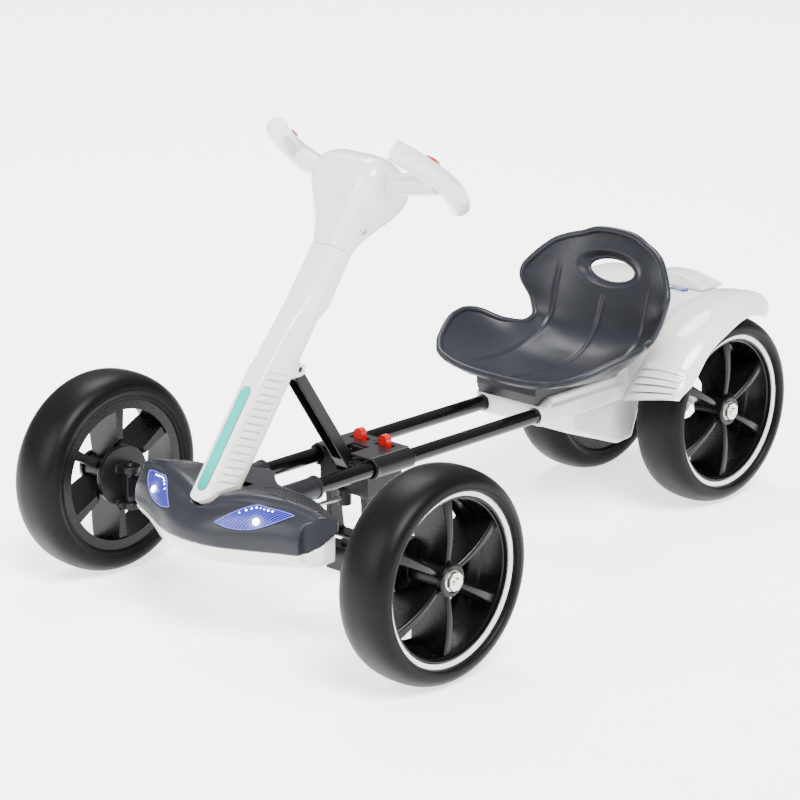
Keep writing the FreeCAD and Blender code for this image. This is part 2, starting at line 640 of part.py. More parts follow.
def bracket():
    """Collared sleeves on both rails, a box between them, and cheeks whose slots hold the strut's foot pin."""
    foot = strut_ends()[0]
    pocket_rear = STRUT_FOOT_Y + FOOT_DRIFT + STRUT_HALF_D + 3
    parts = [
        box(at(-BOX_HALF_X, BOX_FRONT_Y, BOX_LOW), at(BOX_HALF_X, BOX_REAR_Y, RAIL_Z)),
        box(at(-RAIL_X, pocket_rear, RAIL_Z - 4), at(RAIL_X, SLEEVE_REAR_Y - 2, DECK_Z)),
    ]
    for side in (-1, 1):
        x = side * RAIL_X
        parts.append(rod(at(x, SLEEVE_FRONT_Y, RAIL_Z), at(x, SLEEVE_REAR_Y, RAIL_Z), SLEEVE_R))
        parts.append(rod(at(x, SLEEVE_FRONT_Y, RAIL_Z), at(x, SLEEVE_FRONT_Y + 4, RAIL_Z), COLLAR_R))
        inner, outer = sorted((side * CHEEK_IN, x))
        parts.append(box(at(inner, BOX_FRONT_Y, RAIL_Z - 4), at(outer, pocket_rear + 2, RAIL_Z + 8)))
    whole = fused(parts)
    # The box's lower rear corner slants in.
    slant = [(BOX_REAR_Y + 9, 22), (BOX_REAR_Y - 22, BOX_LOW - 1), (260, BOX_LOW - 1), (260, 22)]
    whole = whole.cut(polygon_face([at(-60, y, z) for y, z in slant]).extrude(V(120, 0, 0)))
    pocket_low = at(-CHEEK_IN, BOX_FRONT_Y - 9, RAIL_Z - STRUT_HALF_D - 3)
    whole = whole.cut(box(pocket_low, at(CHEEK_IN, pocket_rear, DECK_Z + 9)))
    # The sleeves and collars are flat where the plate lies on them.
    whole = whole.cut(box(at(-60, SLEEVE_FRONT_Y - 3, DECK_Z), at(60, SLEEVE_REAR_Y - 2, DECK_Z + 9)))
    slot_r = PIN_R + 0.5
    drift = V(0, FOOT_DRIFT, 0)
    for side in (-1, 1):
        low, high = sorted((side * (CHEEK_IN - 1), side * (CHEEK_OUT + 0.5)))
        ends = [across(foot, low, high, slot_r), across(foot + drift, low, high, slot_r)]
        middle = box(foot + V(low, 0, -slot_r), foot + V(high, FOOT_DRIFT, slot_r))
        whole = whole.cut(fused(ends + [middle]))
        whole = whole.cut(rod(at(side * RAIL_X, 0, RAIL_Z), at(side * RAIL_X, 400, RAIL_Z), RAIL_R + FIT_GAP))
        whole = whole.cut(lever_well(side))
    post = rod(at(0, BOX_FRONT_Y + 2, BOX_LOW - 16), at(0, BOX_FRONT_Y + 2, BOX_LOW + 4), 8.5)
    leg = polygon_face([at(34, 141, BOX_LOW + 2), at(34, 160, BOX_LOW + 2), at(34, 168, -62), at(34, 144, -62)])
    left_leg = leg.extrude(V(-8, 0, 0))
    foot_bar = box(at(-34, 144, -62), at(34, 168, -57))
    return fused([whole, post, left_leg, mirrored(left_leg), foot_bar])


def lever_well(side):
    reach_x, reach_y = LEVER_HALF_W + 7, LEVER_HALF_D + 1.5
    low = at(side * LEVER_X - reach_x, LEVER_Y - reach_y, DECK_Z - 9)
    high = at(side * LEVER_X + reach_x, LEVER_Y + reach_y, DECK_Z + DECK_T + 1)
    return box(low, high)


def bracket_plate():
    plate = box(at(-46, SLEEVE_FRONT_Y - 2, DECK_Z), at(46, SLEEVE_REAR_Y - 2, DECK_Z + DECK_T))
    notch_rear = STRUT_FOOT_Y + FOOT_DRIFT + 14
    notch = box(at(-CHEEK_IN - 2, SLEEVE_FRONT_Y - 3, DECK_Z - 1), at(CHEEK_IN + 2, notch_rear, DECK_Z + 5))
    for side in (-1, 1):
        plate = plate.cut(lever_well(side))
    return plate.cut(notch)


def pinch_levers():
    levers = []
    top = DECK_Z + DECK_T + LEVER_RISE - LEVER_HALF_W
    for side in (-1, 1):
        x = side * LEVER_X
        base = DECK_Z - 9 + FIT_GAP
        low = at(x - LEVER_HALF_W, LEVER_Y - LEVER_HALF_D, base)
        stem = box(low, at(x + LEVER_HALF_W, LEVER_Y + LEVER_HALF_D, top))
        dome = rod(at(x, LEVER_Y - LEVER_HALF_D, top), at(x, LEVER_Y + LEVER_HALF_D, top), LEVER_HALF_W)
        levers.append(fused([stem, dome]))
    return Part.makeCompound(levers)


def guide_rod():
    return rod(at(0, GUIDE_FRONT_Y, GUIDE_Z), at(0, BOX_FRONT_Y - 6.4, GUIDE_Z), GUIDE_R)


def seat_rows():
    """Upper surface of the seat as rows of points, and each row's offset to the underside."""
    # Along the seat: centre y, z, then side half width, y, z
    table = [
        (-309, 84, 84, -312, 92),
        (-303, 83, 107, -308, 101),
        (-288, 81, 127, -285, 111),
        (-262, 77, 140, -258, 122),
        (-235, 75, 149, -235, 129),
        (-210, 75, 150, -210, 133),
        (-187, 76, 140, -190, 130),
        (-163, 81, 117, -172, 117),
        (-141, 90, 99, -146, 110),
        (-121, 107, 98, -127, 116),
        (-110, 130, 109, -124, 138),
        (-102, 157, 122, -132, 162),
        (-95, 180, 123, -127, 178),
        (-88, 201, 108, -114, 198),
        (-82, 218, 90, -100, 216),
        (-78, 230, 69, -89, 225),
        (-76, 235, 47, -82, 230),
    ]
    rows = []
    for yc, zc, half, ys, zs in table:
        row = []
        for u in (-1, -0.85, -0.6, -0.3, 0, 0.3, 0.6, 0.85, 1):
            rise = abs(u) ** 3.2
            row.append(rear_at(half * u, yc + (ys - yc) * rise, zc + (zs - zc) * rise))
        rows.append(row)
    offsets = []
    for index in range(len(table)):
        before, after = table[max(index - 1, 0)], table[min(index + 1, len(table) - 1)]
        along = V(0, after[0] - before[0], after[1] - before[1]).normalize()
        offsets.append(V(0, along.z, -along.y) * SEAT_T)
    return rows, offsets


def seat_shell():
    shell = grid_shell(*seat_rows())
    # Handle hole through the backrest.
    centre = rear_at(0, -87, 185)
    up = V(0, 0.37, 0.93)
    out = V(0, 0.93, -0.37)
    hole = Part.Ellipse(centre + V(39, 0, 0), centre + up * 17, centre).toShape()
    tool = Part.Face(Part.Wire(hole)).extrude(out * 80)
    tool.translate(out * -40)
    return shell.cut(tool)


def seat_support():
    """Dark plinth between the rear body's arm and the underside of the seat."""
    rows, offsets = seat_rows()
    rise = BODY_ARM_HIGH + FIT_GAP
    outline = [(-291.5, 52.4), (-296, 66), (-296, 86), (-160, 86), (-160, rise), (-272, rise)]
    plinth = polygon_face([rear_at(-50, y, z) for y, z in outline]).extrude(V(100, 0, 0))
    under = [[point + shift - V(0, 0, FIT_GAP) for point in row] for row, shift in zip(rows, offsets)]
    return plinth.cut(grid_shell(under, [V(0, 0, 90)] * len(rows)))


def rear_body():
    """White body: a low front arm that takes the rails, rising behind the seat to a shelf."""
    # Side outline: y, z
    outline = [
        (BODY_FRONT_Y, BODY_LOW), (BODY_FRONT_Y, 52), (-272, BODY_ARM_HIGH), (-136, BODY_ARM_HIGH), (-100, 106),
        (-76, SHELF_Z), (72, SHELF_Z), (90, 124), (90, 72), (62, BODY_LOW + 4), (-140, BODY_LOW + 2),
    ]
    face = polygon_face([rear_at(-BODY_HALF_X, y, z) for y, z in outline])
    body = face.extrude(V(2 * BODY_HALF_X, 0, 0))
    rims = [e for e in body.Edges if abs(abs(e.CenterOfMass.x) - BODY_HALF_X) < 0.01]
    body = body.makeFillet(6.0, rims)
    hangers = []
    for side in (-1, 1):
        inner, outer = sorted((side * HANGER_IN, side * HANGER_OUT))
        hangers.append(box(rear_at(inner, -24, 0), rear_at(outer, 24, BODY_LOW + 8)))
        hangers.append(rod(rear_at(inner, 0, 0), rear_at(outer, 0, 0), 24))
    whole = fused([body] + hangers)
    for side in (-1, 1):
        start = rear_at(side * RAIL_X, BODY_FRONT_Y - 1, RAIL_Z)
        end = rear_at(side * RAIL_X, BODY_RAIL_END_Y + FIT_GAP, RAIL_Z)
        whole = whole.cut(rod(start, end, RAIL_R + RUN_GAP))
        # The lower half of each arm stands out from the panel above it.
        inner, outer = sorted((side * (BODY_HALF_X - 3), side * (BODY_HALF_X + 5)))
        whole = whole.cut(box(rear_at(inner, -274, 49), rear_at(outer, -122, 90)))
    return whole.cut(rod(rear_at(-100, 0, 0), rear_at(100, 0, 0), AXLE_R + RUN_GAP))


def tail_cover():
    """Low dome across the rear of the shelf."""
    low = SHELF_Z
    arc = Part.Arc(rear_at(-55, 36, low + 4), rear_at(0, 36, low + 17), rear_at(55, 36, low + 4)).toShape()
    base = [rear_at(55, 36, low + 4), rear_at(55, 36, low), rear_at(-55, 36, low), rear_at(-55, 36, low + 4)]
    wire = Part.Wire([arc] + [Part.makeLine(a, b) for a, b in zip(base[:-1], base[1:])])
    dome = Part.Face(wire).extrude(V(0, 48, 0))
    for corners in ([(35, 0), (46, 20), (35, 20)], [(85, -1), (74, 20), (85, 20)]):
        slope = polygon_face([rear_at(-60, y, low + rise) for y, rise in corners])
        dome = dome.cut(slope.extrude(V(120, 0, 0)))
    return dome


def tail_light():
    return box(rear_at(13, 22, SHELF_Z), rear_at(37, 31, SHELF_Z + 2.5))


def power_button():
    return rod(rear_at(-36, 6, SHELF_Z), rear_at(-36, 6, SHELF_Z + 5), 8)


def battery_box():
    low = BODY_LOW
    outline = [(-220, low + 1), (-214, -4), (-115, -40), (-86, -38), (-70, 7), (-70, low + 4), (-140, low + 2)]
    face = polygon_face([rear_at(-BATTERY_HALF_X, y, z) for y, z in outline])
    solid = face.extrude(V(2 * BATTERY_HALF_X, 0, 0))
    rims = []
    for edge in solid.Edges:
        middle = edge.CenterOfMass
        if abs(abs(middle.x) - BATTERY_HALF_X) < 0.01 and middle.z < AXLE_Z + low - 1:
            rims.append(edge)
    return solid.makeFillet(7.0, rims).cut(rear_body())


def motor():
    """Gear motor round the rear axle between the hangers."""
    barrel = rod(rear_at(-HANGER_IN, 0, 0), rear_at(HANGER_IN, 0, 0), 21)
    gear_case = rod(rear_at(-HANGER_IN, 0, 0), rear_at(-14, 0, 0), 42)
    arm = box(rear_at(-38, -112, -44), rear_at(-20, -10, -14))
    whole = fused([barrel, gear_case, arm])
    whole = whole.cut(rear_body()).cut(battery_box())
    return whole.cut(rod(rear_at(-100, 0, 0), rear_at(100, 0, 0), AXLE_R + RUN_GAP))


# Fender sections about the rear axle: angle and radius beyond the tyre at the inner edge, radius beyond the
# tyre at the crown, then angle and radius beyond the tyre at the outer edge.
FENDER_TABLE = [
    (168.5, 6, 23, 161.0, 9),
    (152, -8, 12, 150.0, -9),
    (135, -12, 10, 134, -12),
    (120, -9, 10, 120, -10),
    (105, -3, 13, 104, -8),
    (90, 5, 20, 88, 1),
    (76, 14, 29, 74, 7),
    (62, 23, 37, 64, 18),
]


def fender_section(fraction):
    """Interpolated row of the fender table, counted from its front end."""
    place = min(int(fraction), len(FENDER_TABLE) - 2)
    blend = fraction - place
    return [a + (b - a) * blend for a, b in zip(FENDER_TABLE[place], FENDER_TABLE[place + 1])]


def fender_row(section, lift):
    """Points across the fender, lifted outwards, and the direction out from the axle."""
    inner_angle, inner, crown, outer_angle, outer = section
    across_x = [(BODY_HALF_X + RUN_GAP, inner), (74, inner + 12), (98, crown - 0.5), (122, crown - 1.5),
                (140, (crown + outer) / 2), (148, outer)]
    points = []
    for x, rise in across_x:
        share = (x - across_x[0][0]) / (across_x[-1][0] - across_x[0][0])
        angle = math.radians(inner_angle + (outer_angle - inner_angle) * share)
        points.append(rear_at(x, 0, 0) + V(0, math.cos(angle), math.sin(angle)) * (TYRE_R + rise + lift))
    middle = math.radians((inner_angle + outer_angle) / 2)
    return points, V(0, math.cos(middle), math.sin(middle))


def fender():
    """Rear fender: a swept shell over the wheel with louvred steps on its lower front."""
    rows, offsets = [], []
    for section in FENDER_TABLE:
        points, out = fender_row(section, 0)
        rows.append(points)
        offsets.append(out * -FENDER_T)
    shell = grid_shell(rows, offsets)
    # Each louvre stands proud at its lower end and sinks into the shell at its upper end.
    louvres = []
    for index in range(LOUVRES):
        rows, offsets = [], []
        for place, lift in ((0.03, 2.2), (0.15, 1.2), (0.27, -0.2)):
            points, out = fender_row(fender_section(index * 0.3 + place), lift)
            rows.append(points[1:5])
            offsets.append(out * (-1.5 - lift))
        louvres.append(grid_shell(rows, offsets))
    return fused([shell] + louvres)


nodes = {}
nodes.update(wheel_nodes())
nodes["knuckle_left"] = knuckle()
nodes["knuckle_right"] = mirrored(knuckle())
nodes["stub_axle_left"] = stub_axle()
nodes["stub_axle_right"] = mirrored(stub_axle())
nodes["rear_axle"] = rear_axle()
nodes["front_beam"] = front_beam()
nodes.update(nose_nodes())
nodes.update(rail_nodes())
nodes["column"] = column()
nodes["light_strip"] = light_strip(0)
nodes["strut"] = strut()
nodes["head_housing"] = head_housing()
nodes["grip_left"] = grip()
nodes["grip_right"] = mirrored(grip())
nodes["grip_buttons"] = Part.makeCompound([grip_button(0), mirrored(grip_button(0))])
nodes["bracket"] = bracket()
nodes["bracket_plate"] = bracket_plate()
nodes["pinch_levers"] = pinch_levers()
nodes["guide_rod"] = guide_rod()
nodes["seat_shell"] = seat_shell()
nodes["seat_support"] = seat_support()
nodes["rear_body"] = rear_body()
nodes["tail_cover"] = tail_cover()
nodes["tail_light"] = tail_light()
nodes["power_button"] = power_button()
nodes["battery_box"] = battery_box()
nodes["motor"] = motor()
nodes["fender_left"] = fender()
nodes["fender_right"] = mirrored(fender())

os.makedirs("parts", exist_ok=True)
for name, shape in nodes.items():
    shape.exportStep("parts/" + name + ".step")
    state = "valid" if shape.isValid() else "INVALID"
    print(name, state, len(shape.Solids), "solids", round(shape.Volume / 1000, 1), "cm3")
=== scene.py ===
import bpy
import bmesh
import json
import math
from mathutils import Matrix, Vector
from mathutils.bvhtree import BVHTree


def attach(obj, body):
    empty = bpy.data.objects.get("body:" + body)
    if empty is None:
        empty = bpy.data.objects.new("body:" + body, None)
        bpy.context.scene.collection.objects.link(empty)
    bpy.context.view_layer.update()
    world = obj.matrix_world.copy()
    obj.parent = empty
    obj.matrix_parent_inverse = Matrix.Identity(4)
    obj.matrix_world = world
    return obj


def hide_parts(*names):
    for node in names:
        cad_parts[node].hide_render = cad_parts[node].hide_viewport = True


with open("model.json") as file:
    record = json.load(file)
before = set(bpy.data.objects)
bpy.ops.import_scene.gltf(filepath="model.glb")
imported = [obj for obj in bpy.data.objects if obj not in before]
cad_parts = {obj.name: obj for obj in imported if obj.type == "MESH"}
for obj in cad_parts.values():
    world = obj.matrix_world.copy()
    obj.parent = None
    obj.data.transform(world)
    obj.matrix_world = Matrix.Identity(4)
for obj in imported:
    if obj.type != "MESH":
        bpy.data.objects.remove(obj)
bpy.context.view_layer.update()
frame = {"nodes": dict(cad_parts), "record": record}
nodes = frame["nodes"]
print("frame loaded:", len(nodes), "nodes")

# Points are given in millimetres, as in the CAD source, and turned into metres here.
columnTilt = math.radians(54)
columnUp = Vector((0, math.cos(columnTilt), math.sin(columnTilt)))
columnOut = Vector((0, -math.sin(columnTilt), math.cos(columnTilt)))
wheelCentres = {
    "front_left": (276.9, 0.0),
    "front_right": (-276.9, 0.0),
    "rear_left": (105.1, 732.0),
    "rear_right": (-105.1, 732.0),
}


def at(x, y, z):
    return Vector((x, y - 366, z + 127)) / 1000


def rearAt(x, y, z):
    return Vector((x, y + 366, z + 127)) / 1000


def onColumn(x, s, n):
    return at(x, -92, 73) + columnUp * (s / 1000) + columnOut * (n / 1000)


def smoothStep(low, high, value):
    share = min(max((value - low) / (high - low), 0), 1)
    return share * share * (3 - 2 * share)


# Materials.

finishes = {
    "whitePanel": {
        "colour": (0.62, 0.605, 0.585), "spread": 0.03, "roughness": (0.16, 0.24), "coat": 0.4,
        "grain": (900, 0.03),
    },
    "whiteTrim": {
        "colour": (0.76, 0.76, 0.75), "spread": 0.02, "roughness": (0.3, 0.4), "coat": 0.1,
        "grain": (1500, 0.04),
    },
    "slatePlastic": {
        "colour": (0.0120, 0.0133, 0.0168), "spread": 0.10, "roughness": (0.30, 0.40), "shine": 0.2,
        "grain": (1900, 0.07),
    },
    "tyreRubber": {
        "colour": (0.0022, 0.0022, 0.0023), "spread": 0.25, "roughness": (0.36, 0.46), "shine": 0.09,
        "grain": (1300, 0.06),
    },
    "rimPlastic": {
        "colour": (0.0022, 0.0022, 0.0024), "spread": 0.2, "roughness": (0.22, 0.32), "shine": 0.18,
        "grain": (1500, 0.05),
    },
    "railPaint": {
        "colour": (0.0018, 0.0018, 0.0020), "spread": 0.2, "roughness": (0.12, 0.2), "shine": 0.2,
        "grain": (700, 0.03),
    },
    "darkCasting": {
        "colour": (0.0034, 0.0036, 0.0042), "spread": 0.15, "roughness": (0.30, 0.42), "shine": 0.18,
        "grain": (1200, 0.12),
    },
    "darkPlastic": {
        "colour": (0.0095, 0.0105, 0.0125), "spread": 0.12, "roughness": (0.32, 0.42), "shine": 0.22,
        "grain": (1700, 0.07),
    },
    "brightSteel": {
        "colour": (0.50, 0.49, 0.46), "spread": 0.12, "roughness": (0.22, 0.36), "metallic": 1.0,
        "grain": (2400, 0.05),
    },
    "plateMetal": {
        "colour": (0.016, 0.016, 0.018), "spread": 0.18, "roughness": (0.16, 0.26), "metallic": 0.35, "shine": 0.4,
        "grain": (2600, 0.04),
    },
    "redPlastic": {
        "colour": (0.36, 0.0004, 0.0008), "spread": 0.08, "roughness": (0.24, 0.34), "coat": 0.3,
        "grain": (1600, 0.06),
    },
    "gapShadow": {
        "colour": (0.10, 0.10, 0.11), "spread": 0.1, "roughness": (0.6, 0.7), "grain": (1500, 0.03),
    },
    "floorPaper": {
        "colour": (0.94, 0.94, 0.94), "spread": 0.01, "roughness": (0.85, 0.95), "glow": 1.8,
        "grain": (300, 0.02),
    },
}


def newMaterial(name):
    material = bpy.data.materials.new(name)
    material.use_nodes = True
    tree = material.node_tree
    return material, tree, tree.nodes["Principled BSDF"]


def noiseOn(tree, scale, detail=3.0, stretch=(1, 1, 1)):
    place = tree.nodes.new("ShaderNodeTexCoord")
    mapping = tree.nodes.new("ShaderNodeMapping")
    mapping.inputs["Scale"].default_value = stretch
    noise = tree.nodes.new("ShaderNodeTexNoise")
    noise.inputs["Scale"].default_value = scale
    noise.inputs["Detail"].default_value = detail
    tree.links.new(place.outputs["Object"], mapping.inputs["Vector"])
    tree.links.new(mapping.outputs["Vector"], noise.inputs["Vector"])
    return noise.outputs["Fac"]


def rampOf(tree, factor, stops):
    ramp = tree.nodes.new("ShaderNodeValToRGB")
    elements = ramp.color_ramp.elements
    while len(elements) < len(stops):
        elements.new(0.5)
    for element, (place, colour) in zip(elements, stops):
        element.position = place
        element.color = (*colour, 1)
    tree.links.new(factor, ramp.inputs["Fac"])
    return ramp.outputs["Color"]


def addGrain(tree, shader, scale, strength, stretch=(1, 1, 1)):
    bump = tree.nodes.new("ShaderNodeBump")
    bump.inputs["Strength"].default_value = strength
    bump.inputs["Distance"].default_value = 0.0006
    tree.links.new(noiseOn(tree, scale, 2.0, stretch), bump.inputs["Height"])
    tree.links.new(bump.outputs["Normal"], shader.inputs["Normal"])


def finishMaterial(name, stretch=(1, 1, 1)):
    look = finishes[name]
    material, tree, shader = newMaterial(name)
    darker = tuple(channel * (1 - look["spread"]) for channel in look["colour"])
    lighter = tuple(min(channel * (1 + look["spread"]), 1) for channel in look["colour"])
    cloud = noiseOn(tree, 14, 4.0, stretch)
    tree.links.new(rampOf(tree, cloud, [(0.35, darker), (0.65, lighter)]), shader.inputs["Base Color"])
    spread = tree.nodes.new("ShaderNodeMapRange")
    spread.inputs["To Min"].default_value, spread.inputs["To Max"].default_value = look["roughness"]
    tree.links.new(noiseOn(tree, 45, 5.0, stretch), spread.inputs["Value"])
    tree.links.new(spread.outputs["Result"], shader.inputs["Roughness"])
    shader.inputs["Metallic"].default_value = look.get("metallic", 0.0)
    shader.inputs["Specular IOR Level"].default_value = look.get("shine", 0.5)
    shader.inputs["Coat Weight"].default_value = look.get("coat", 0.0)
    shader.inputs["Coat Roughness"].default_value = 0.08
    shader.inputs["Emission Color"].default_value = (1, 1, 1, 1)
    shader.inputs["Emission Strength"].default_value = look.get("glow", 0.0)
    addGrain(tree, shader, *look["grain"], stretch)
    return material


lightLooks = {
    "stripTop": (0.0, 0.23, 0.195), "stripLow": (0.0, 0.15, 0.13), "stripGlow": 2.6, "stripShine": 0.1,
    "lensDeep": (0.005, 0.006, 0.08), "lensPale": (0.045, 0.05, 0.30), "lensGlow": 0.5, "lensLines": 150,
    "lensTurn": 38, "ledGlow": 30.0, "ledReach": 0.020,
}


def stripMaterial():
    material, tree, shader = newMaterial("stripGlow")
    place = tree.nodes.new("ShaderNodeTexCoord")
    mapping = tree.nodes.new("ShaderNodeMapping")
    gradient = tree.nodes.new("ShaderNodeTexGradient")
    # The gradient runs up the column: the height is set from the strip's foot to its head.
    low, high = onColumn(0, -13, 0).z, onColumn(0, 119, 0).z
    mapping.inputs["Location"].default_value = (-low / (high - low), 0, 0)
    mapping.inputs["Rotation"].default_value = (0, math.radians(90), 0)
    mapping.inputs["Scale"].default_value = (1 / (high - low),) * 3
    tree.links.new(place.outputs["Object"], mapping.inputs["Vector"])
    tree.links.new(mapping.outputs["Vector"], gradient.inputs["Vector"])
    stops = [(0.0, lightLooks["stripLow"]), (0.25, lightLooks["stripTop"]), (1.0, lightLooks["stripTop"])]
    colour = rampOf(tree, gradient.outputs["Fac"], stops)
    tree.links.new(colour, shader.inputs["Base Color"])
    tree.links.new(colour, shader.inputs["Emission Color"])
    shader.inputs["Emission Strength"].default_value = lightLooks["stripGlow"]
    shader.inputs["Roughness"].default_value = 0.4
    shader.inputs["Specular IOR Level"].default_value = lightLooks["stripShine"]
    return material


# Blue-violet lens with fine slanting lines, brightest round its lamp.
def lensMaterial(name, led):
    material, tree, shader = newMaterial(name)
    place = tree.nodes.new("ShaderNodeTexCoord")
    turn = tree.nodes.new("ShaderNodeMapping")
    turn.inputs["Rotation"].default_value = (0, 0, math.radians(lightLooks["lensTurn"]))
    wave = tree.nodes.new("ShaderNodeTexWave")
    wave.inputs["Scale"].default_value = lightLooks["lensLines"]
    wave.inputs["Distortion"].default_value = 0.4
    tree.links.new(place.outputs["Object"], turn.inputs["Vector"])
    tree.links.new(turn.outputs["Vector"], wave.inputs["Vector"])
    deep, pale = lightLooks["lensDeep"], lightLooks["lensPale"]
    stripes = rampOf(tree, wave.outputs["Fac"], [(0.4, deep), (0.7, pale)])
    tree.links.new(stripes, shader.inputs["Base Color"])
    centre = tree.nodes.new("ShaderNodeMapping")
    centre.inputs["Location"].default_value = tuple(-c / lightLooks["ledReach"] for c in led)
    centre.inputs["Scale"].default_value = (1 / lightLooks["ledReach"],) * 3
    ball = tree.nodes.new("ShaderNodeTexGradient")
    ball.gradient_type = "SPHERICAL"
    tree.links.new(place.outputs["Object"], centre.inputs["Vector"])
    tree.links.new(centre.outputs["Vector"], ball.inputs["Vector"])
    glow = rampOf(tree, ball.outputs["Fac"], [(0.0, deep), (0.45, pale), (0.95, (1, 1, 1))])
    tree.links.new(glow, shader.inputs["Emission Color"])
    shader.inputs["Emission Strength"].default_value = lightLooks["lensGlow"]
    shader.inputs["Roughness"].default_value = 0.16
    shader.inputs["Specular IOR Level"].default_value = 0.2
    shader.inputs["Coat Weight"].default_value = 0.1
    bump = tree.nodes.new("ShaderNodeBump")
    bump.inputs["Strength"].default_value = 0.25
    bump.inputs["Distance"].default_value = 0.0005
    tree.links.new(wave.outputs["Fac"], bump.inputs["Height"])
    tree.links.new(bump.outputs["Normal"], shader.inputs["Normal"])
    return material


def glowMaterial(name, colour, strength):
    material, tree, shader = newMaterial(name)
    paler = tuple(min(channel * 1.15, 1) for channel in colour)
    tint = rampOf(tree, noiseOn(tree, 400), [(0.3, colour), (0.7, paler)])
    tree.links.new(tint, shader.inputs["Base Color"])
    tree.links.new(tint, shader.inputs["Emission Color"])
    shader.inputs["Emission Strength"].default_value = strength
    return material


# Box behind and below the column's root where the column panel gets painted shade.
columnShadeZone = {"rear": at(0, -66, 0).y, "top": at(0, 0, 56).z}


def columnMaterial():
    # White panel with painted shade: its part low behind the column, under the column, is dark.
    material = finishMaterial("whitePanel")
    material.name = "columnPanel"
    tree = material.node_tree
    shader = tree.nodes["Principled BSDF"]
    white = shader.inputs["Base Color"].links[0].from_socket
    place = tree.nodes.new("ShaderNodeTexCoord")
    parts = tree.nodes.new("ShaderNodeSeparateXYZ")
    behind = tree.nodes.new("ShaderNodeMath")
    behind.operation = "GREATER_THAN"
    behind.inputs[1].default_value = columnShadeZone["rear"]
    below = tree.nodes.new("ShaderNodeMath")
    below.operation = "LESS_THAN"
    below.inputs[1].default_value = columnShadeZone["top"]
    both = tree.nodes.new("ShaderNodeMath")
    both.operation = "MULTIPLY"
    # Painted shade: the dark plastic colour is mixed in inside that box.
    mix = tree.nodes.new("ShaderNodeMix")
    mix.data_type = "RGBA"
    mix.inputs["B"].default_value = (*finishes["darkPlastic"]["colour"], 1)
    tree.links.new(place.outputs["Object"], parts.inputs["Vector"])
    tree.links.new(parts.outputs["Y"], behind.inputs[0])
    tree.links.new(parts.outputs["Z"], below.inputs[0])
    tree.links.new(behind.outputs["Value"], both.inputs[0])
    tree.links.new(below.outputs["Value"], both.inputs[1])
    tree.links.new(both.outputs["Value"], mix.inputs["Factor"])
    tree.links.new(white, mix.inputs["A"])
    tree.links.new(mix.outputs["Result"], shader.inputs["Base Color"])
    return material


materials = {name: finishMaterial(name) for name in finishes if name != "plateMetal"}
materials["columnPanel"] = columnMaterial()
materials["plateMetal"] = finishMaterial("plateMetal", (1, 0.06, 1))
materials["stripGlow"] = stripMaterial()
lampSpots = {"left": at(86.6, -91.4, 40.1), "right": at(-86.6, -91.4, 40.1)}
for side, spot in lampSpots.items():
    materials["lens_" + side] = lensMaterial("lens_" + side, spot)
materials["lens_tail"] = lensMaterial("lens_tail", rearAt(25, 26, 143))
materials["ledWhite"] = glowMaterial("ledWhite", (0.86, 0.9, 1.0), lightLooks["ledGlow"])
materials["lensEdge"] = glowMaterial("lensEdge", (0.07, 0.08, 0.36), 0.5)

slotFinish = {
    "white_shell": "whitePanel", "white_trim": "whiteTrim", "slate": "slatePlastic", "tyre": "tyreRubber",
    "black_gloss": "rimPlastic", "rail_paint": "railPaint", "dark_steel": "darkCasting",
    "dark_plastic": "darkPlastic", "steel": "brightSteel", "strip_light": "stripGlow", "lens": "lens_tail",
    "grey_plate": "plateMetal", "red": "redPlastic",
}
nodeSlots = {part["node"]: part["material_slot"] for part in frame["record"]["subparts"]}
for nodeName, slotName in nodeSlots.items():
    nodes[nodeName].data.materials.clear()
    nodes[nodeName].data.materials.append(materials[slotFinish[slotName]])
nodes["column"].data.materials[0] = materials["columnPanel"]
for side in lampSpots:
    nodes["headlamp_" + side].data.materials[0] = materials["lens_" + side]
print("materials:", len(materials))


# Shared mesh tools.

# New piece from points and faces, at the origin, its faces outward.
def meshPiece(name, form, material, body, sharp=40):
    points, faces = form
    mesh = bpy.data.meshes.new(name)
    mesh.from_pydata([tuple(point) for point in points], [], faces)
    piece = bpy.data.objects.new(name, mesh)
    bpy.context.collection.objects.link(piece)
    mesh.materials.append(material)
    build = bmesh.new()
    build.from_mesh(mesh)
    bmesh.ops.remove_doubles(build, verts=build.verts, dist=1e-6)
    bmesh.ops.recalc_face_normals(build, faces=build.faces)
    for face in build.faces:
        face.smooth = True
    build.to_mesh(mesh)
    build.free()
    mesh.set_sharp_from_angle(angle=math.radians(sharp))
    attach(piece, body)
    return piece


def joined(forms):
    points, faces = [], []
    for morePoints, moreFaces in forms:
        start = len(points)
        points += morePoints
        faces += [[index + start for index in face] for face in moreFaces]
    return points, faces


def mirroredForm(form):
    points, faces = form
    flipped = [Vector((-point[0], point[1], point[2])) for point in points]
    return flipped, [list(reversed(face)) for face in faces]


# Closed ring: a closed profile of (along, radius) in millimetres turned about a line.
def lathe(profile, centre, direction, count=64):
    direction = Vector(direction).normalized()
    first = direction.orthogonal().normalized()
    second = direction.cross(first)
    points, faces = [], []
    size = len(profile)
    for turn in range(count):
        angle = 2 * math.pi * turn / count
        out = first * math.cos(angle) + second * math.sin(angle)
        points += [centre + direction * (along / 1000) + out * (radius / 1000) for along, radius in profile]
    for turn in range(count):
        here, ahead = turn * size, (turn + 1) % count * size
        for index in range(size):
            after = (index + 1) % size
            faces.append([here + index, here + after, ahead + after, ahead + index])
    return points, faces


# Closed profile of a collar whose outer edges are cut back a little.
def eased(half, bore, radius, ease):
    return [(-half, bore), (-half, radius - ease), (-half + ease, radius), (half - ease, radius),
            (half, radius - ease), (half, bore)]


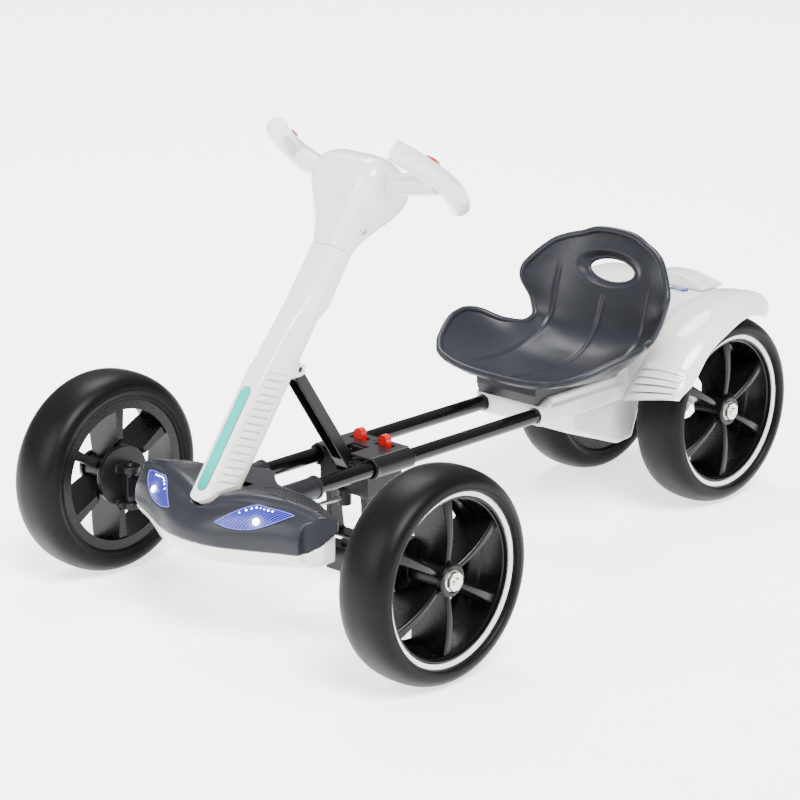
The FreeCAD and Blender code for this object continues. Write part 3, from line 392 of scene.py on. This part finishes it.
# Round bar along points in metres, its radius in millimetres.
def tube(path, radius, sides=10, closed=False):
    count = len(path)
    points, faces = [], []
    across = None
    for index, point in enumerate(path):
        before = path[index - 1] if closed or index else path[0]
        after = path[(index + 1) % count] if closed or index < count - 1 else path[-1]
        along = (after - before).normalized()
        across = along.orthogonal() if across is None else across - along * across.dot(along)
        across.normalize()
        up = along.cross(across)
        for turn in range(sides):
            angle = 2 * math.pi * turn / sides
            points.append(point + (across * math.cos(angle) + up * math.sin(angle)) * (radius / 1000))
    for index in range(count if closed else count - 1):
        here, ahead = index * sides, (index + 1) % count * sides
        for turn in range(sides):
            after = (turn + 1) % sides
            faces.append([here + turn, here + after, ahead + after, ahead + turn])
    if not closed:
        faces.append(list(range(sides)))
        faces.append([(count - 1) * sides + turn for turn in reversed(range(sides))])
    return points, faces


# Flat outline pushed along a direction, both in metres.
def prism(outline, depth):
    count = len(outline)
    points = list(outline) + [point + depth for point in outline]
    faces = [list(range(count)), list(reversed(range(count, 2 * count)))]
    for index in range(count):
        after = (index + 1) % count
        faces.append([index, after, after + count, index + count])
    return points, faces


# Outline with round ends, as (across, along) pairs.
def stadium(half, low, high, steps=12):
    outline = []
    for centre, start in ((high, 0), (low, math.pi)):
        for step in range(steps + 1):
            angle = start + math.pi * step / steps
            outline.append((half * math.cos(angle), centre + half * math.sin(angle)))
    return outline


# Turns what the modifiers make into the piece's own plain mesh.
def bake(piece):
    bpy.context.view_layer.update()
    graph = bpy.context.evaluated_depsgraph_get()
    mesh = bpy.data.meshes.new_from_object(piece.evaluated_get(graph))
    piece.modifiers.clear()
    piece.data = mesh
    return piece


def roundEdges(piece, width, segments=3, limit=35):
    bevel = piece.modifiers.new("roundEdges", "BEVEL")
    bevel.width = width / 1000
    bevel.segments = segments
    bevel.limit_method = "ANGLE"
    bevel.angle_limit = math.radians(limit)
    bake(piece)
    for face in piece.data.polygons:
        face.use_smooth = True
    piece.data.set_sharp_from_angle(angle=math.radians(50))
    return piece


# Moulded skin over a CAD solid: the same form with its edges rounded.
def softened(nodeName, pieceName, body, look):
    piece = bpy.data.objects.new(pieceName, nodes[nodeName].data.copy())
    bpy.context.collection.objects.link(piece)
    build = bmesh.new()
    build.from_mesh(piece.data)
    bmesh.ops.remove_doubles(build, verts=build.verts, dist=1e-5)
    build.to_mesh(piece.data)
    build.free()
    skin = piece.modifiers.new("skin", "REMESH")
    skin.mode = "VOXEL"
    skin.voxel_size = look["voxel"] / 1000
    skin.use_smooth_shade = True
    relax = piece.modifiers.new("relax", "SMOOTH")
    relax.factor = 0.5
    relax.iterations = look["rounds"]
    if look["keep"] < 1:
        thin = piece.modifiers.new("thin", "DECIMATE")
        thin.ratio = look["keep"]
    bake(piece)
    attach(piece, body)
    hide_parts(nodeName)
    return piece


def surfaceOf(*nodeNames):
    points, faces = [], []
    for nodeName in nodeNames:
        mesh = nodes[nodeName].data
        start = len(points)
        points += [vertex.co.copy() for vertex in mesh.vertices]
        faces += [[index + start for index in face.vertices] for face in mesh.polygons]
    return BVHTree.FromPolygons(points, faces)


# Low domed head with a cross recess, in millimetres.
def screwHead(centre, normal, radius, height):
    normal = Vector(normal).normalized()
    first = normal.orthogonal().normalized()
    second = normal.cross(first)
    rings = [(1.0, -0.6), (1.0, 0.0), (0.94, 0.55), (0.8, 0.85), (0.64, 0.95), (0.62, 0.96), (0.45, 1.0),
             (0.3, 1.0), (0.15, 1.0)]
    segments = 32
    points, faces = [], []
    for share, rise in rings:
        for turn in range(segments):
            angle = 2 * math.pi * (turn + 0.5) / segments
            a, b = share * math.cos(angle), share * math.sin(angle)
            sunk = share < 0.63 and min(abs(a), abs(b)) < 0.16
            lift = height * rise - (radius * 0.3 if sunk else 0)
            points.append(centre + (first * a + second * b) * (radius / 1000) + normal * (lift / 1000))
    for ring in range(len(rings) - 1):
        for turn in range(segments):
            after = (turn + 1) % segments
            here, ahead = ring * segments, (ring + 1) * segments
            faces.append([here + turn, here + after, ahead + after, ahead + turn])
    last = (len(rings) - 1) * segments
    faces.append([last + turn for turn in range(segments)])
    faces.append([turn for turn in reversed(range(segments))])
    return points, faces


# Screws where lines through the spots meet a surface, with a thin washer under each.
def screwsOn(surface, spots, direction, radius, height):
    forms = []
    direction = Vector(direction).normalized()
    for spot in spots:
        place, normal = surface.ray_cast(spot - direction * 0.1, direction)[:2]
        if place is None:
            continue
        normal = normal if normal.dot(direction) < 0 else -normal
        forms.append(screwHead(place, normal, radius, height))
        washer = [(-0.3, radius * 0.5), (0.35, radius * 0.5), (0.35, radius * 1.32), (0.15, radius * 1.4),
                  (-0.3, radius * 1.4)]
        forms.append(lathe(washer, place, normal, 32))
    return joined(forms)


# Node trees for what repeats.

def newTree(name, sockets):
    tree = bpy.data.node_groups.new(name, "GeometryNodeTree")
    tree.interface.new_socket("Item", in_out="INPUT", socket_type="NodeSocketGeometry")
    for socketName, kind in sockets:
        tree.interface.new_socket(socketName, in_out="INPUT", socket_type=kind)
    tree.interface.new_socket("Finish", in_out="INPUT", socket_type="NodeSocketMaterial")
    tree.interface.new_socket("Result", in_out="OUTPUT", socket_type="NodeSocketGeometry")
    return tree, tree.nodes.new("NodeGroupInput"), tree.nodes.new("NodeGroupOutput")


def endTree(tree, start, end, instances):
    real = tree.nodes.new("GeometryNodeRealizeInstances")
    paint = tree.nodes.new("GeometryNodeSetMaterial")
    tree.links.new(instances, real.inputs["Geometry"])
    tree.links.new(real.outputs["Geometry"], paint.inputs["Geometry"])
    tree.links.new(start.outputs["Finish"], paint.inputs["Material"])
    tree.links.new(paint.outputs["Geometry"], end.inputs["Result"])


# Copies of the item in a straight row.
def rowTree():
    tree, start, end = newTree("itemRow", [("Count", "NodeSocketInt"), ("Step", "NodeSocketVector")])
    line = tree.nodes.new("GeometryNodeMeshLine")
    line.mode = "OFFSET"
    place = tree.nodes.new("GeometryNodeInstanceOnPoints")
    tree.links.new(start.outputs["Count"], line.inputs["Count"])
    tree.links.new(start.outputs["Step"], line.inputs["Offset"])
    tree.links.new(line.outputs["Mesh"], place.inputs["Points"])
    tree.links.new(start.outputs["Item"], place.inputs["Instance"])
    endTree(tree, start, end, place.outputs["Instances"])
    return tree


# Copies of the item in a grid inside an oval, dropped onto a surface and standing square to it.
def padTree():
    sockets = [("Surface", "NodeSocketObject"), ("Centre", "NodeSocketVector"),
               ("Half Length", "NodeSocketFloat"), ("Half Width", "NodeSocketFloat"),
               ("Across", "NodeSocketInt"), ("Along", "NodeSocketInt")]
    tree, start, end = newTree("itemPad", sockets)
    link = tree.links.new

    def calc(operation, first, second):
        step = tree.nodes.new("ShaderNodeMath")
        step.operation = operation
        for socket, value in zip(step.inputs, (first, second)):
            if isinstance(value, (int, float)):
                socket.default_value = value
            else:
                link(value, socket)
        return step.outputs["Value"]

    grid = tree.nodes.new("GeometryNodeMeshGrid")
    link(calc("MULTIPLY", start.outputs["Half Length"], 2.0), grid.inputs["Size X"])
    link(calc("MULTIPLY", start.outputs["Half Width"], 2.0), grid.inputs["Size Y"])
    link(start.outputs["Across"], grid.inputs["Vertices X"])
    link(start.outputs["Along"], grid.inputs["Vertices Y"])
    position = tree.nodes.new("GeometryNodeInputPosition")
    parts = tree.nodes.new("ShaderNodeSeparateXYZ")
    link(position.outputs["Position"], parts.inputs["Vector"])
    shareX = calc("DIVIDE", parts.outputs["X"], start.outputs["Half Length"])
    shareY = calc("DIVIDE", parts.outputs["Y"], start.outputs["Half Width"])
    reach = calc("ADD", calc("MULTIPLY", shareX, shareX), calc("MULTIPLY", shareY, shareY))
    trim = tree.nodes.new("GeometryNodeDeleteGeometry")
    link(grid.outputs["Mesh"], trim.inputs["Geometry"])
    link(calc("GREATER_THAN", reach, 1.0), trim.inputs["Selection"])
    move = tree.nodes.new("GeometryNodeSetPosition")
    link(trim.outputs["Geometry"], move.inputs["Geometry"])
    link(start.outputs["Centre"], move.inputs["Offset"])
    target = tree.nodes.new("GeometryNodeObjectInfo")
    link(start.outputs["Surface"], target.inputs["Object"])
    above = tree.nodes.new("ShaderNodeVectorMath")
    above.operation = "ADD"
    above.inputs[1].default_value = (0, 0, 0.2)
    link(position.outputs["Position"], above.inputs[0])
    cast = tree.nodes.new("GeometryNodeRaycast")
    link(target.outputs["Geometry"], cast.inputs["Target Geometry"])
    link(above.outputs["Vector"], cast.inputs["Source Position"])
    cast.inputs["Ray Direction"].default_value = (0, 0, -1)
    cast.inputs["Ray Length"].default_value = 0.5
    drop = tree.nodes.new("GeometryNodeSetPosition")
    link(move.outputs["Geometry"], drop.inputs["Geometry"])
    link(cast.outputs["Hit Position"], drop.inputs["Position"])
    square = tree.nodes.new("FunctionNodeAlignRotationToVector")
    square.axis = "Z"
    link(cast.outputs["Hit Normal"], square.inputs["Vector"])
    place = tree.nodes.new("GeometryNodeInstanceOnPoints")
    link(drop.outputs["Geometry"], place.inputs["Points"])
    link(start.outputs["Item"], place.inputs["Instance"])
    link(square.outputs["Rotation"], place.inputs["Rotation"])
    endTree(tree, start, end, place.outputs["Instances"])
    return tree


trees = {"row": rowTree(), "pad": padTree()}


def repeated(piece, treeName, values):
    modifier = piece.modifiers.new("repeat", "NODES")
    modifier.node_group = trees[treeName]
    values = dict(values, Finish=piece.data.materials[0])
    for item in trees[treeName].interface.items_tree:
        if item.in_out == "INPUT" and item.name in values:
            modifier[item.identifier] = values[item.name]
    bake(piece)
    piece.data.set_sharp_from_angle(angle=math.radians(40))
    return piece


# Seat.

seat = {
    "voxel": 1.75, "rounds": 3, "keep": 1.0, "grooveDepth": 1.9, "grooveWidth": 2.7, "sideGroove": 77.0,
    "dish": 7.0, "dishReach": 1.5, "holeCentre": (0, -87, 185), "holeHalf": (39, 17), "rimRadius": 4.6,
    "holeRimRadius": 3.4, "edgeStep": 3.0,
}
# Border of the seat along one side: y and z behind and above the rear axle, and the half width there.
seatSide = [
    (-312, 92, 84), (-308, 101, 107), (-285, 111, 127), (-258, 122, 140), (-235, 129, 149),
    (-210, 133, 150), (-190, 130, 140), (-172, 117, 117), (-146, 110, 99), (-127, 116, 98), (-124, 138, 109),
    (-132, 162, 122), (-127, 178, 123), (-114, 198, 108), (-100, 216, 90), (-89, 225, 69), (-82, 230, 47),
]
seatFront = [(-309, 84), (-312, 92)]
seatTop = [(-76, 235), (-82, 230)]
holeUp, holeOut = Vector((0, 0.37, 0.93)), Vector((0, 0.93, -0.37))


# How many times further from the handle hole's centre than its edge, and the depth behind its plane.
def holeShare(point):
    away = (point - rearAt(*seat["holeCentre"])) * 1000
    halfX, halfUp = seat["holeHalf"]
    return math.hypot(away.x / halfX, away.dot(holeUp) / halfUp), away.dot(holeOut)


# Presses the grooves and the dish round the handle hole into the moulded seat.
def carveSeat(piece):
    mesh = piece.data
    inward = Vector((0, -0.6, 0.8))
    moves = []
    for vertex in mesh.vertices:
        x, y, z = vertex.co.x * 1000, vertex.co.y * 1000 - 366, vertex.co.z * 1000 - 127
        move = Vector()
        share, depth = holeShare(vertex.co)
        if abs(depth) < 40:
            move += holeOut * (seat["dish"] * (1 - smoothStep(1.0, seat["dishReach"], share)))
        if vertex.normal.dot(inward) > 0.2:
            middle = math.exp(-(x / seat["grooveWidth"]) ** 2)
            middle *= smoothStep(-298, -274, y) * (1 - smoothStep(146, 158, z))
            side = math.exp(-((abs(x) - seat["sideGroove"]) / seat["grooveWidth"]) ** 2)
            side *= smoothStep(-284, -244, y) * (1 - smoothStep(160, 196, z))
            move -= vertex.normal * ((middle + side) * seat["grooveDepth"])
        moves.append(move / 1000)
    for vertex, move in zip(mesh.vertices, moves):
        vertex.co += move
    mesh.update()


# Closed line through the points with even spacing, its corners eased.
def evenPath(points, step, rounds):
    path = []
    for start, end in zip(points, points[1:] + points[:1]):
        count = max(int((end - start).length * 1000 / step), 1)
        path += [start + (end - start) * (k / count) for k in range(count)]
    for turn in range(rounds):
        path = [(path[i - 1] + path[i] * 2 + path[(i + 1) % len(path)]) / 4 for i in range(len(path))]
    return path


# Line round the seat's border, half way through its thickness.
def seatEdge():
    def crossRow(middle, side, half):
        row = []
        for k in range(-9, 10):
            rise = abs(k / 10) ** 3.2
            row.append(rearAt(half * k / 10, *[m + (e - m) * rise for m, e in zip(middle, side)]))
        return row

    sides = []
    for index, (y, z, half) in enumerate(seatSide):
        before, after = seatSide[max(index - 1, 0)], seatSide[min(index + 1, len(seatSide) - 1)]
        along = Vector((0, after[0] - before[0], after[1] - before[1])).normalized()
        sides.append(rearAt(half, y, z) + Vector((0, along.z, -along.y)) * 0.0046)
    left = [Vector((-point.x, point.y, point.z)) for point in sides]
    front = crossRow(*seatFront, seatSide[0][2])
    top = crossRow(*seatTop, seatSide[-1][2])
    return evenPath(front + sides + list(reversed(top)) + list(reversed(left)), seat["edgeStep"], 8)


seatPiece = softened("seat_shell", "seatBucket", "frame", seat)
carveSeat(seatPiece)
seatSurface = BVHTree.FromPolygons([v.co.copy() for v in seatPiece.data.vertices],
                                   [list(face.vertices) for face in seatPiece.data.polygons])
holeRing = []
halfX, halfUp = [half * 1.05 / 1000 for half in seat["holeHalf"]]
for step in range(64):
    angle = 2 * math.pi * step / 64
    spot = rearAt(*seat["holeCentre"]) + holeUp * (halfUp * math.sin(angle))
    spot.x += halfX * math.cos(angle)
    place = seatSurface.ray_cast(spot - holeOut * 0.06, holeOut)[0]
    if place is not None:
        holeRing.append(place + holeOut * 0.0024)
rims = joined([tube(seatEdge(), seat["rimRadius"], 14, True),
               tube(evenPath(holeRing, 2.0, 6), seat["holeRimRadius"], 12, True)])
meshPiece("seatRims", rims, materials["slatePlastic"], "frame", sharp=75)
print("seat:", len(seatPiece.data.polygons), "faces")

# Moulded skins.

skins = {
    "nose_cover": {"piece": "noseSkin", "body": "frame", "voxel": 1.5, "rounds": 5, "keep": 0.6},
    "nose_base": {"piece": "noseBaseSkin", "body": "frame", "voxel": 1.8, "rounds": 4, "keep": 0.5},
    "rear_body": {"piece": "rearBodySkin", "body": "frame", "voxel": 2.4, "rounds": 4, "keep": 0.45},
    "tail_cover": {"piece": "tailCoverSkin", "body": "frame", "voxel": 1.3, "rounds": 5, "keep": 0.5},
    "battery_box": {"piece": "batteryBoxSkin", "body": "frame", "voxel": 2.0, "rounds": 4, "keep": 0.5},
    "bracket": {"piece": "bracketSkin", "body": "bracket", "voxel": 1.1, "rounds": 2, "keep": 0.4},
    "strut": {"piece": "strutSkin", "body": "strut", "voxel": 0.9, "rounds": 2, "keep": 0.4},
}
for side in ("left", "right"):
    name = "knuckle_" + side
    skins[name] = {"piece": "knuckle" + side.title() + "Skin", "body": name, "voxel": 1.1, "rounds": 3, "keep": 0.4}
for nodeName, look in skins.items():
    piece = softened(nodeName, look["piece"], look["body"], look)
    if nodeName == "nose_base":
        # The middle of the base, seen behind the column, is the cover's colour.
        piece.data.materials.append(materials["slatePlastic"])
        for face in piece.data.polygons:
            inside = abs(face.center.x) < 0.1 and face.center.y > at(0, -62, 0).y and face.center.z > 0.118
            face.material_index = 1 if inside else 0
    print(look["piece"], len(piece.data.polygons), "faces")

# Nose: lamps, lamp edges and foot pads.

nose = {
    "out": (0.30, -0.85, 0.43), "edgeRadius": 0.5, "ledRadius": 4.2, "padCentre": (97, -41),
    "padHalf": (43, 17), "padCounts": (29, 12), "studHalf": 0.95, "studHeight": 0.75, "padRing": 0.6,
}
lampOutline = [(38, -111, 33.5), (57, -107, 29.8), (81, -98, 31.2), (101, -87, 38.4), (122, -64, 49),
               (108, -69, 52), (92, -76, 54.3), (77, -80, 55.2), (61, -93, 49)]
noseSurface = surfaceOf("nose_cover", "headlamp_left", "headlamp_right")


def onNose(point, out):
    place = noseSurface.ray_cast(point + out * 0.08, -out)[0]
    return place if place is not None else point


# Smooth line through points, round at every point but the first and the fifth.
def curveThrough(table, closed, steps=8):
    path = []
    count = len(table)
    for index in range(count if closed else count - 1):
        a, b, c, d = [Vector(table[(index + step) % count]) for step in (-1, 0, 1, 2)]
        if index in (0, 4):
            a = b + (b - c)
        if index in (3, 8):
            d = c + (c - b)
        for step in range(steps):
            t = step / steps
            bend, twist = 2 * a - 5 * b + 4 * c - d, 3 * b - a - 3 * c + d
            path.append(0.5 * (2 * b + (c - a) * t + bend * t * t + twist * t ** 3))
    return path


out = Vector(nose["out"]).normalized()
edgePath = [onNose(at(*point), out) for point in curveThrough(lampOutline, True)]
lampForms = {"left": tube(edgePath, nose["edgeRadius"], 8, True)}
lampForms["right"] = mirroredForm(lampForms["left"])
for side, spot in lampSpots.items():
    sideOut = Vector((out.x if side == "left" else -out.x, out.y, out.z))
    meshPiece("lampEdge_" + side, lampForms[side], materials["lensEdge"], "frame")
    ledPlace = onNose(spot, sideOut)
    r = nose["ledRadius"]
    dome = [(-0.5, 0.02), (-0.5, r), (0.4, r), (1.3, r * 0.8), (1.9, r * 0.45), (2.1, 0.02)]
    meshPiece("lampLed_" + side, lathe(dome, ledPlace, sideOut, 32), materials["ledWhite"], "frame")
    # Small sparks stand along the lens's upper edge.
    sparks = []
    for index in range(44, 66, 3):
        point = edgePath[index]
        point = point if side == "left" else Vector((-point.x, point.y, point.z))
        size = 0.7 + 0.5 * ((index * 7) % 5) / 4
        middle = onNose(point + (ledPlace - point) * 0.16, sideOut)
        bead = [(-0.2, 0.02), (-0.2, size), (0.35, size * 0.7), (0.5, 0.02)]
        sparks.append(lathe(bead, middle, sideOut, 8))
    meshPiece("lampSparks_" + side, joined(sparks), materials["ledWhite"], "frame")


def studForm():
    half, top, rise = nose["studHalf"] / 1000, nose["studHalf"] * 0.45 / 1000, nose["studHeight"] / 1000
    low = [Vector((x, y, -0.0005)) for x, y in ((-half, 0), (0, -half), (half, 0), (0, half))]
    high = [Vector((x, y, rise)) for x, y in ((-top, 0), (0, -top), (top, 0), (0, top))]
    faces = [[3, 2, 1, 0], [4, 5, 6, 7]]
    faces += [[i, (i + 1) % 4, (i + 1) % 4 + 4, i + 4] for i in range(4)]
    return low + high, faces


for sign, side in ((1, "left"), (-1, "right")):
    pad = meshPiece("footPad_" + side, studForm(), materials["slatePlastic"], "frame")
    centreX, centreY = nose["padCentre"]
    halfX, halfY = nose["padHalf"]
    across, along = nose["padCounts"]
    repeated(pad, "pad", {
        "Surface": nodes["nose_cover"], "Centre": at(sign * centreX, centreY, -127),
        "Half Length": halfX / 1000, "Half Width": halfY / 1000, "Across": across, "Along": along,
    })
    ring = []
    for step in range(72):
        angle = 2 * math.pi * step / 72
        ringX, ringY = (halfX + 2) * math.cos(angle), (halfY + 2) * math.sin(angle)
        spot = at(sign * (centreX + ringX), centreY + ringY, 0)
        place = noseSurface.ray_cast(spot + Vector((0, 0, 0.2)), Vector((0, 0, -1)))[0]
        if place is not None:
            ring.append(place)
    ringForm = tube(ring, nose["padRing"], 8, True)
    meshPiece("padRing_" + side, ringForm, materials["slatePlastic"], "frame")
print("nose: lamps and foot pads done")

# Column: ribs, ridges and strip outline.

ribs = {"first": 14.4, "pitch": 9.35, "count": 15, "half": 3.2, "raise": 0.8, "drop": 6.0}


def ribForm():
    front, rear = (16.9, -10.5), (26.7, -28.9)
    length = math.hypot(rear[0] - front[0], rear[1] - front[1])
    outX, outN = -(rear[1] - front[1]) / length, (rear[0] - front[0]) / length
    corners = []
    for share, side in ((0.04, -1), (0.9, -1), (0.97, 0), (0.9, 1), (0.04, 1)):
        x = front[0] + (rear[0] - front[0]) * share - outX * 0.5
        n = front[1] + (rear[1] - front[1]) * share - outN * 0.5
        s = ribs["first"] - ribs["drop"] * (1 - share) + side * ribs["half"]
        corners.append(onColumn(x, s, n))
    outward = Vector((outX, 0, 0)) + columnOut * outN
    return prism(corners, outward * ((ribs["raise"] + 0.5) / 1000))


ribPiece = meshPiece("columnRibs", joined([ribForm(), mirroredForm(ribForm())]), materials["whitePanel"],
                     "column")
roundEdges(ribPiece, 0.5)
repeated(ribPiece, "row", {"Count": ribs["count"], "Step": columnUp * (ribs["pitch"] / 1000)})
ridges = []
for sign in (-1, 1):
    low, high = onColumn(sign * 15.6, 0, -8.1), onColumn(sign * 15.6, 148, -8.1)
    ridges.append(tube([low, high], 0.55, 8))
meshPiece("columnRidges", joined(ridges), materials["whitePanel"], "column")

strip = {"half": 7.5, "low": -6.0, "high": 112.0, "lift": -3.9}
stripPath = [onColumn(x, s, strip["lift"]) for x, s in stadium(strip["half"], strip["low"], strip["high"])]
meshPiece("stripOutline", tube(stripPath, 0.6, 8, True), materials["gapShadow"], "column")

# Steering head: side screws and collars on the arms.

headSurface = surfaceOf("head_housing")
headScrews = []
for sign in (-1, 1):
    spot = at(sign * 30, 143, 329)
    headScrews.append(screwsOn(headSurface, [spot], Vector((-sign * 0.82, 0.5, -0.1)), 4.2, 1.6))
meshPiece("headScrews", joined(headScrews), materials["brightSteel"], "steering_head")
arm = {"start": onColumn(30, 399, -26), "end": onColumn(113, 420, -33)}
collars = []
for share, radius, half in ((0.33, 14.6, 2.0), (0.80, 14.1, 1.0)):
    middle = arm["start"] + (arm["end"] - arm["start"]) * share
    profile = eased(half, 13.0, radius, 0.4)
    collars.append(lathe(profile, middle, arm["end"] - arm["start"], 48))
collars += [mirroredForm(form) for form in collars]
meshPiece("armCollars", joined(collars), materials["whitePanel"], "steering_head")
print("column and steering head done")

# Wheels.

tyre = {"radius": 126.9, "shoulder": 36.0, "sideRadius": 107.6, "squareness": 0.86, "crown": 0.80}


# Section of the tyre from the outer bead over the tread to the inner bead, as (along, radius).
def tyreProfile():
    outer = [(25.8, 96.2), (25.8, 102.4), (28.6, 102.5), (31.5, 102.7), (33.6, 103.1), (35.2, 104.0),
             (35.9, 105.4), (36.1, 106.8), (35.5, 107.3), (35.5, 108.1), (36.0, 108.6)]
    tread = []
    rise = tyre["radius"] - tyre["sideRadius"]
    for angle in range(0, 90, 3):
        x = tyre["shoulder"] * math.cos(math.radians(angle)) ** tyre["squareness"]
        tread.append((x, tyre["sideRadius"] + rise * math.sin(math.radians(angle)) ** tyre["crown"]))
    inner = [(-36.0, 108.6), (-35.5, 108.1), (-35.5, 107.3), (-36.1, 106.8), (-35.9, 105.0), (-35.0, 103.2),
             (-34.6, 101.4), (-33.6, 101.0), (-33.4, 99.6), (-34.0, 99.2), (-33.2, 97.2), (-32.0, 96.2)]
    tread.append((0, tyre["radius"]))
    back = [(-x, radius) for x, radius in reversed(tread[:-1])]
    return outer + tread + back + inner


# Closed hub profiles, as (along, radius).
hub = {
    "ring": [(28.2, 12.6), (29.6, 12.6), (30.1, 13.2), (30.1, 17.4), (29.7, 18.6), (28.9, 19.3), (28.2, 19.3)],
    "washer": [(28.8, 5.4), (29.7, 5.4), (29.7, 12.0), (29.4, 12.4), (28.8, 12.4)],
    "boltEnd": [(33.0, 0.02), (33.0, 4.9), (36.6, 4.9), (37.2, 4.3), (37.4, 3.2), (37.5, 0.02)],
    "innerRing": [(-31.3, 83.5), (-31.3, 95.4), (-30.6, 95.9), (-29.8, 95.9), (-29.8, 83.5)],
}

for place, (x, y) in wheelCentres.items():
    sign = 1 if x > 0 else -1
    centre = at(x, y, 0)
    axis = Vector((sign, 0, 0))
    body = "wheel_" + place
    carrier = {"front_left": "knuckle_left", "front_right": "knuckle_right"}.get(place, "frame")
    tyreForm = lathe(tyreProfile(), centre, axis, 144)
    tyrePiece = meshPiece("tyreRubber_" + place, tyreForm, materials["tyreRubber"], body, sharp=50)
    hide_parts("tyre_" + place)
    rimForms = [lathe(hub["ring"], centre, axis, 64), lathe(hub["innerRing"], centre, axis, 96)]
    meshPiece("rimRings_" + place, joined(rimForms), materials["rimPlastic"], body)
    nutForms = [lathe(hub["washer"], centre, axis, 48), lathe(hub["boltEnd"], centre, axis, 32)]
    meshPiece("nutWasher_" + place, joined(nutForms), materials["brightSteel"], carrier)
print("wheels done")

# Bracket, rails, levers.

bracketSurface = surfaceOf("bracket_plate")
plateSpots = [at(x, y, 53) for x, y in ((36, 168), (-36, 168), (0, 197))]
plateForms = screwsOn(bracketSurface, plateSpots, (0, 0, -1), 2.6, 1.0)
meshPiece("plateScrews", plateForms, materials["darkCasting"], "bracket")
lever = {"x": 21.0, "y": 190.0, "top": 61.5, "halfWidth": 5.8, "halfDepth": 4.4, "ridges": 5, "pitch": 1.9}
leverForms = []
for sign in (-1, 1):
    for face in (-1, 1):
        for step in range(lever["ridges"]):
            y, z = lever["y"] + face * lever["halfDepth"], lever["top"] - step * lever["pitch"]
            ends = [at(sign * lever["x"] + side * lever["halfWidth"], y, z) for side in (-1, 1)]
            leverForms.append(tube(ends, 0.55, 8))
meshPiece("leverRidges", joined(leverForms), materials["redPlastic"], "bracket")

lip = {"x": 44.2, "y": 45.3, "z": 38.5, "half": 2.2, "bore": 9.7, "radius": 14.5, "ease": 0.5}
lipProfile = eased(lip["half"], lip["bore"], lip["radius"], lip["ease"])
lipForms = [lathe(lipProfile, at(sign * lip["x"], lip["y"], lip["z"]), (0, 1, 0), 56) for sign in (-1, 1)]
meshPiece("socketLips", joined(lipForms), materials["darkPlastic"], "frame")
print("bracket and rails done")

# Floor, lights and camera.

studio = {
    "floorSize": 24.0, "skyHigh": 0.8, "skyLow": 0.35,
    "keyFrom": (2.0, -1.0, 3.0), "keyPower": 9.5, "keySoftness": 28,
}
softBoxes = {
    "fillLight": {"location": (-0.6, -3.0, 1.6), "size": 1.8, "power": 110.0},
    "rimLight": {"location": (-1.6, 0.9, 3.4), "size": 1.6, "power": 150.0},
}


def addFloor():
    bpy.ops.mesh.primitive_plane_add(size=studio["floorSize"], location=(0, 0, 0))
    floor = bpy.context.object
    floor.name = "studioFloor"
    floor.data.materials.append(materials["floorPaper"])


def addLight(name, kind, location, power):
    light = bpy.data.lights.new(name, kind)
    light.energy = power
    lamp = bpy.data.objects.new(name, light)
    bpy.context.collection.objects.link(lamp)
    lamp.location = location
    lamp.rotation_euler = (-lamp.location).to_track_quat("-Z", "Y").to_euler()
    return light


def addWorld():
    world = bpy.data.worlds.new("studio")
    world.use_nodes = True
    tree = world.node_tree
    place = tree.nodes.new("ShaderNodeTexCoord")
    parts = tree.nodes.new("ShaderNodeSeparateXYZ")
    spread = tree.nodes.new("ShaderNodeMapRange")
    spread.inputs["To Min"].default_value = studio["skyLow"]
    spread.inputs["To Max"].default_value = studio["skyHigh"]
    tree.links.new(place.outputs["Generated"], parts.inputs["Vector"])
    tree.links.new(parts.outputs["Z"], spread.inputs["Value"])
    tree.links.new(spread.outputs["Result"], tree.nodes["Background"].inputs["Strength"])
    tree.nodes["Background"].inputs["Color"].default_value = (1, 1, 1, 1)
    bpy.context.scene.world = world


camera = {"azimuth": 43.336, "elevation": 16.72, "lens": 132.75, "location": (2.3834, -2.6530, 1.2651)}


def addCamera():
    data = bpy.data.cameras.new("camera")
    data.lens = camera["lens"]
    data.sensor_width = 36.0
    viewer = bpy.data.objects.new("camera", data)
    bpy.context.collection.objects.link(viewer)
    viewer.location = camera["location"]
    viewer.rotation_euler = (math.radians(90 - camera["elevation"]), 0, math.radians(camera["azimuth"]))
    bpy.context.scene.camera = viewer


addFloor()
addWorld()
keyLight = addLight("keyLight", "SUN", studio["keyFrom"], studio["keyPower"])
keyLight.angle = math.radians(studio["keySoftness"])
for lightName, look in softBoxes.items():
    addLight(lightName, "AREA", look["location"], look["power"]).size = look["size"]
addCamera()
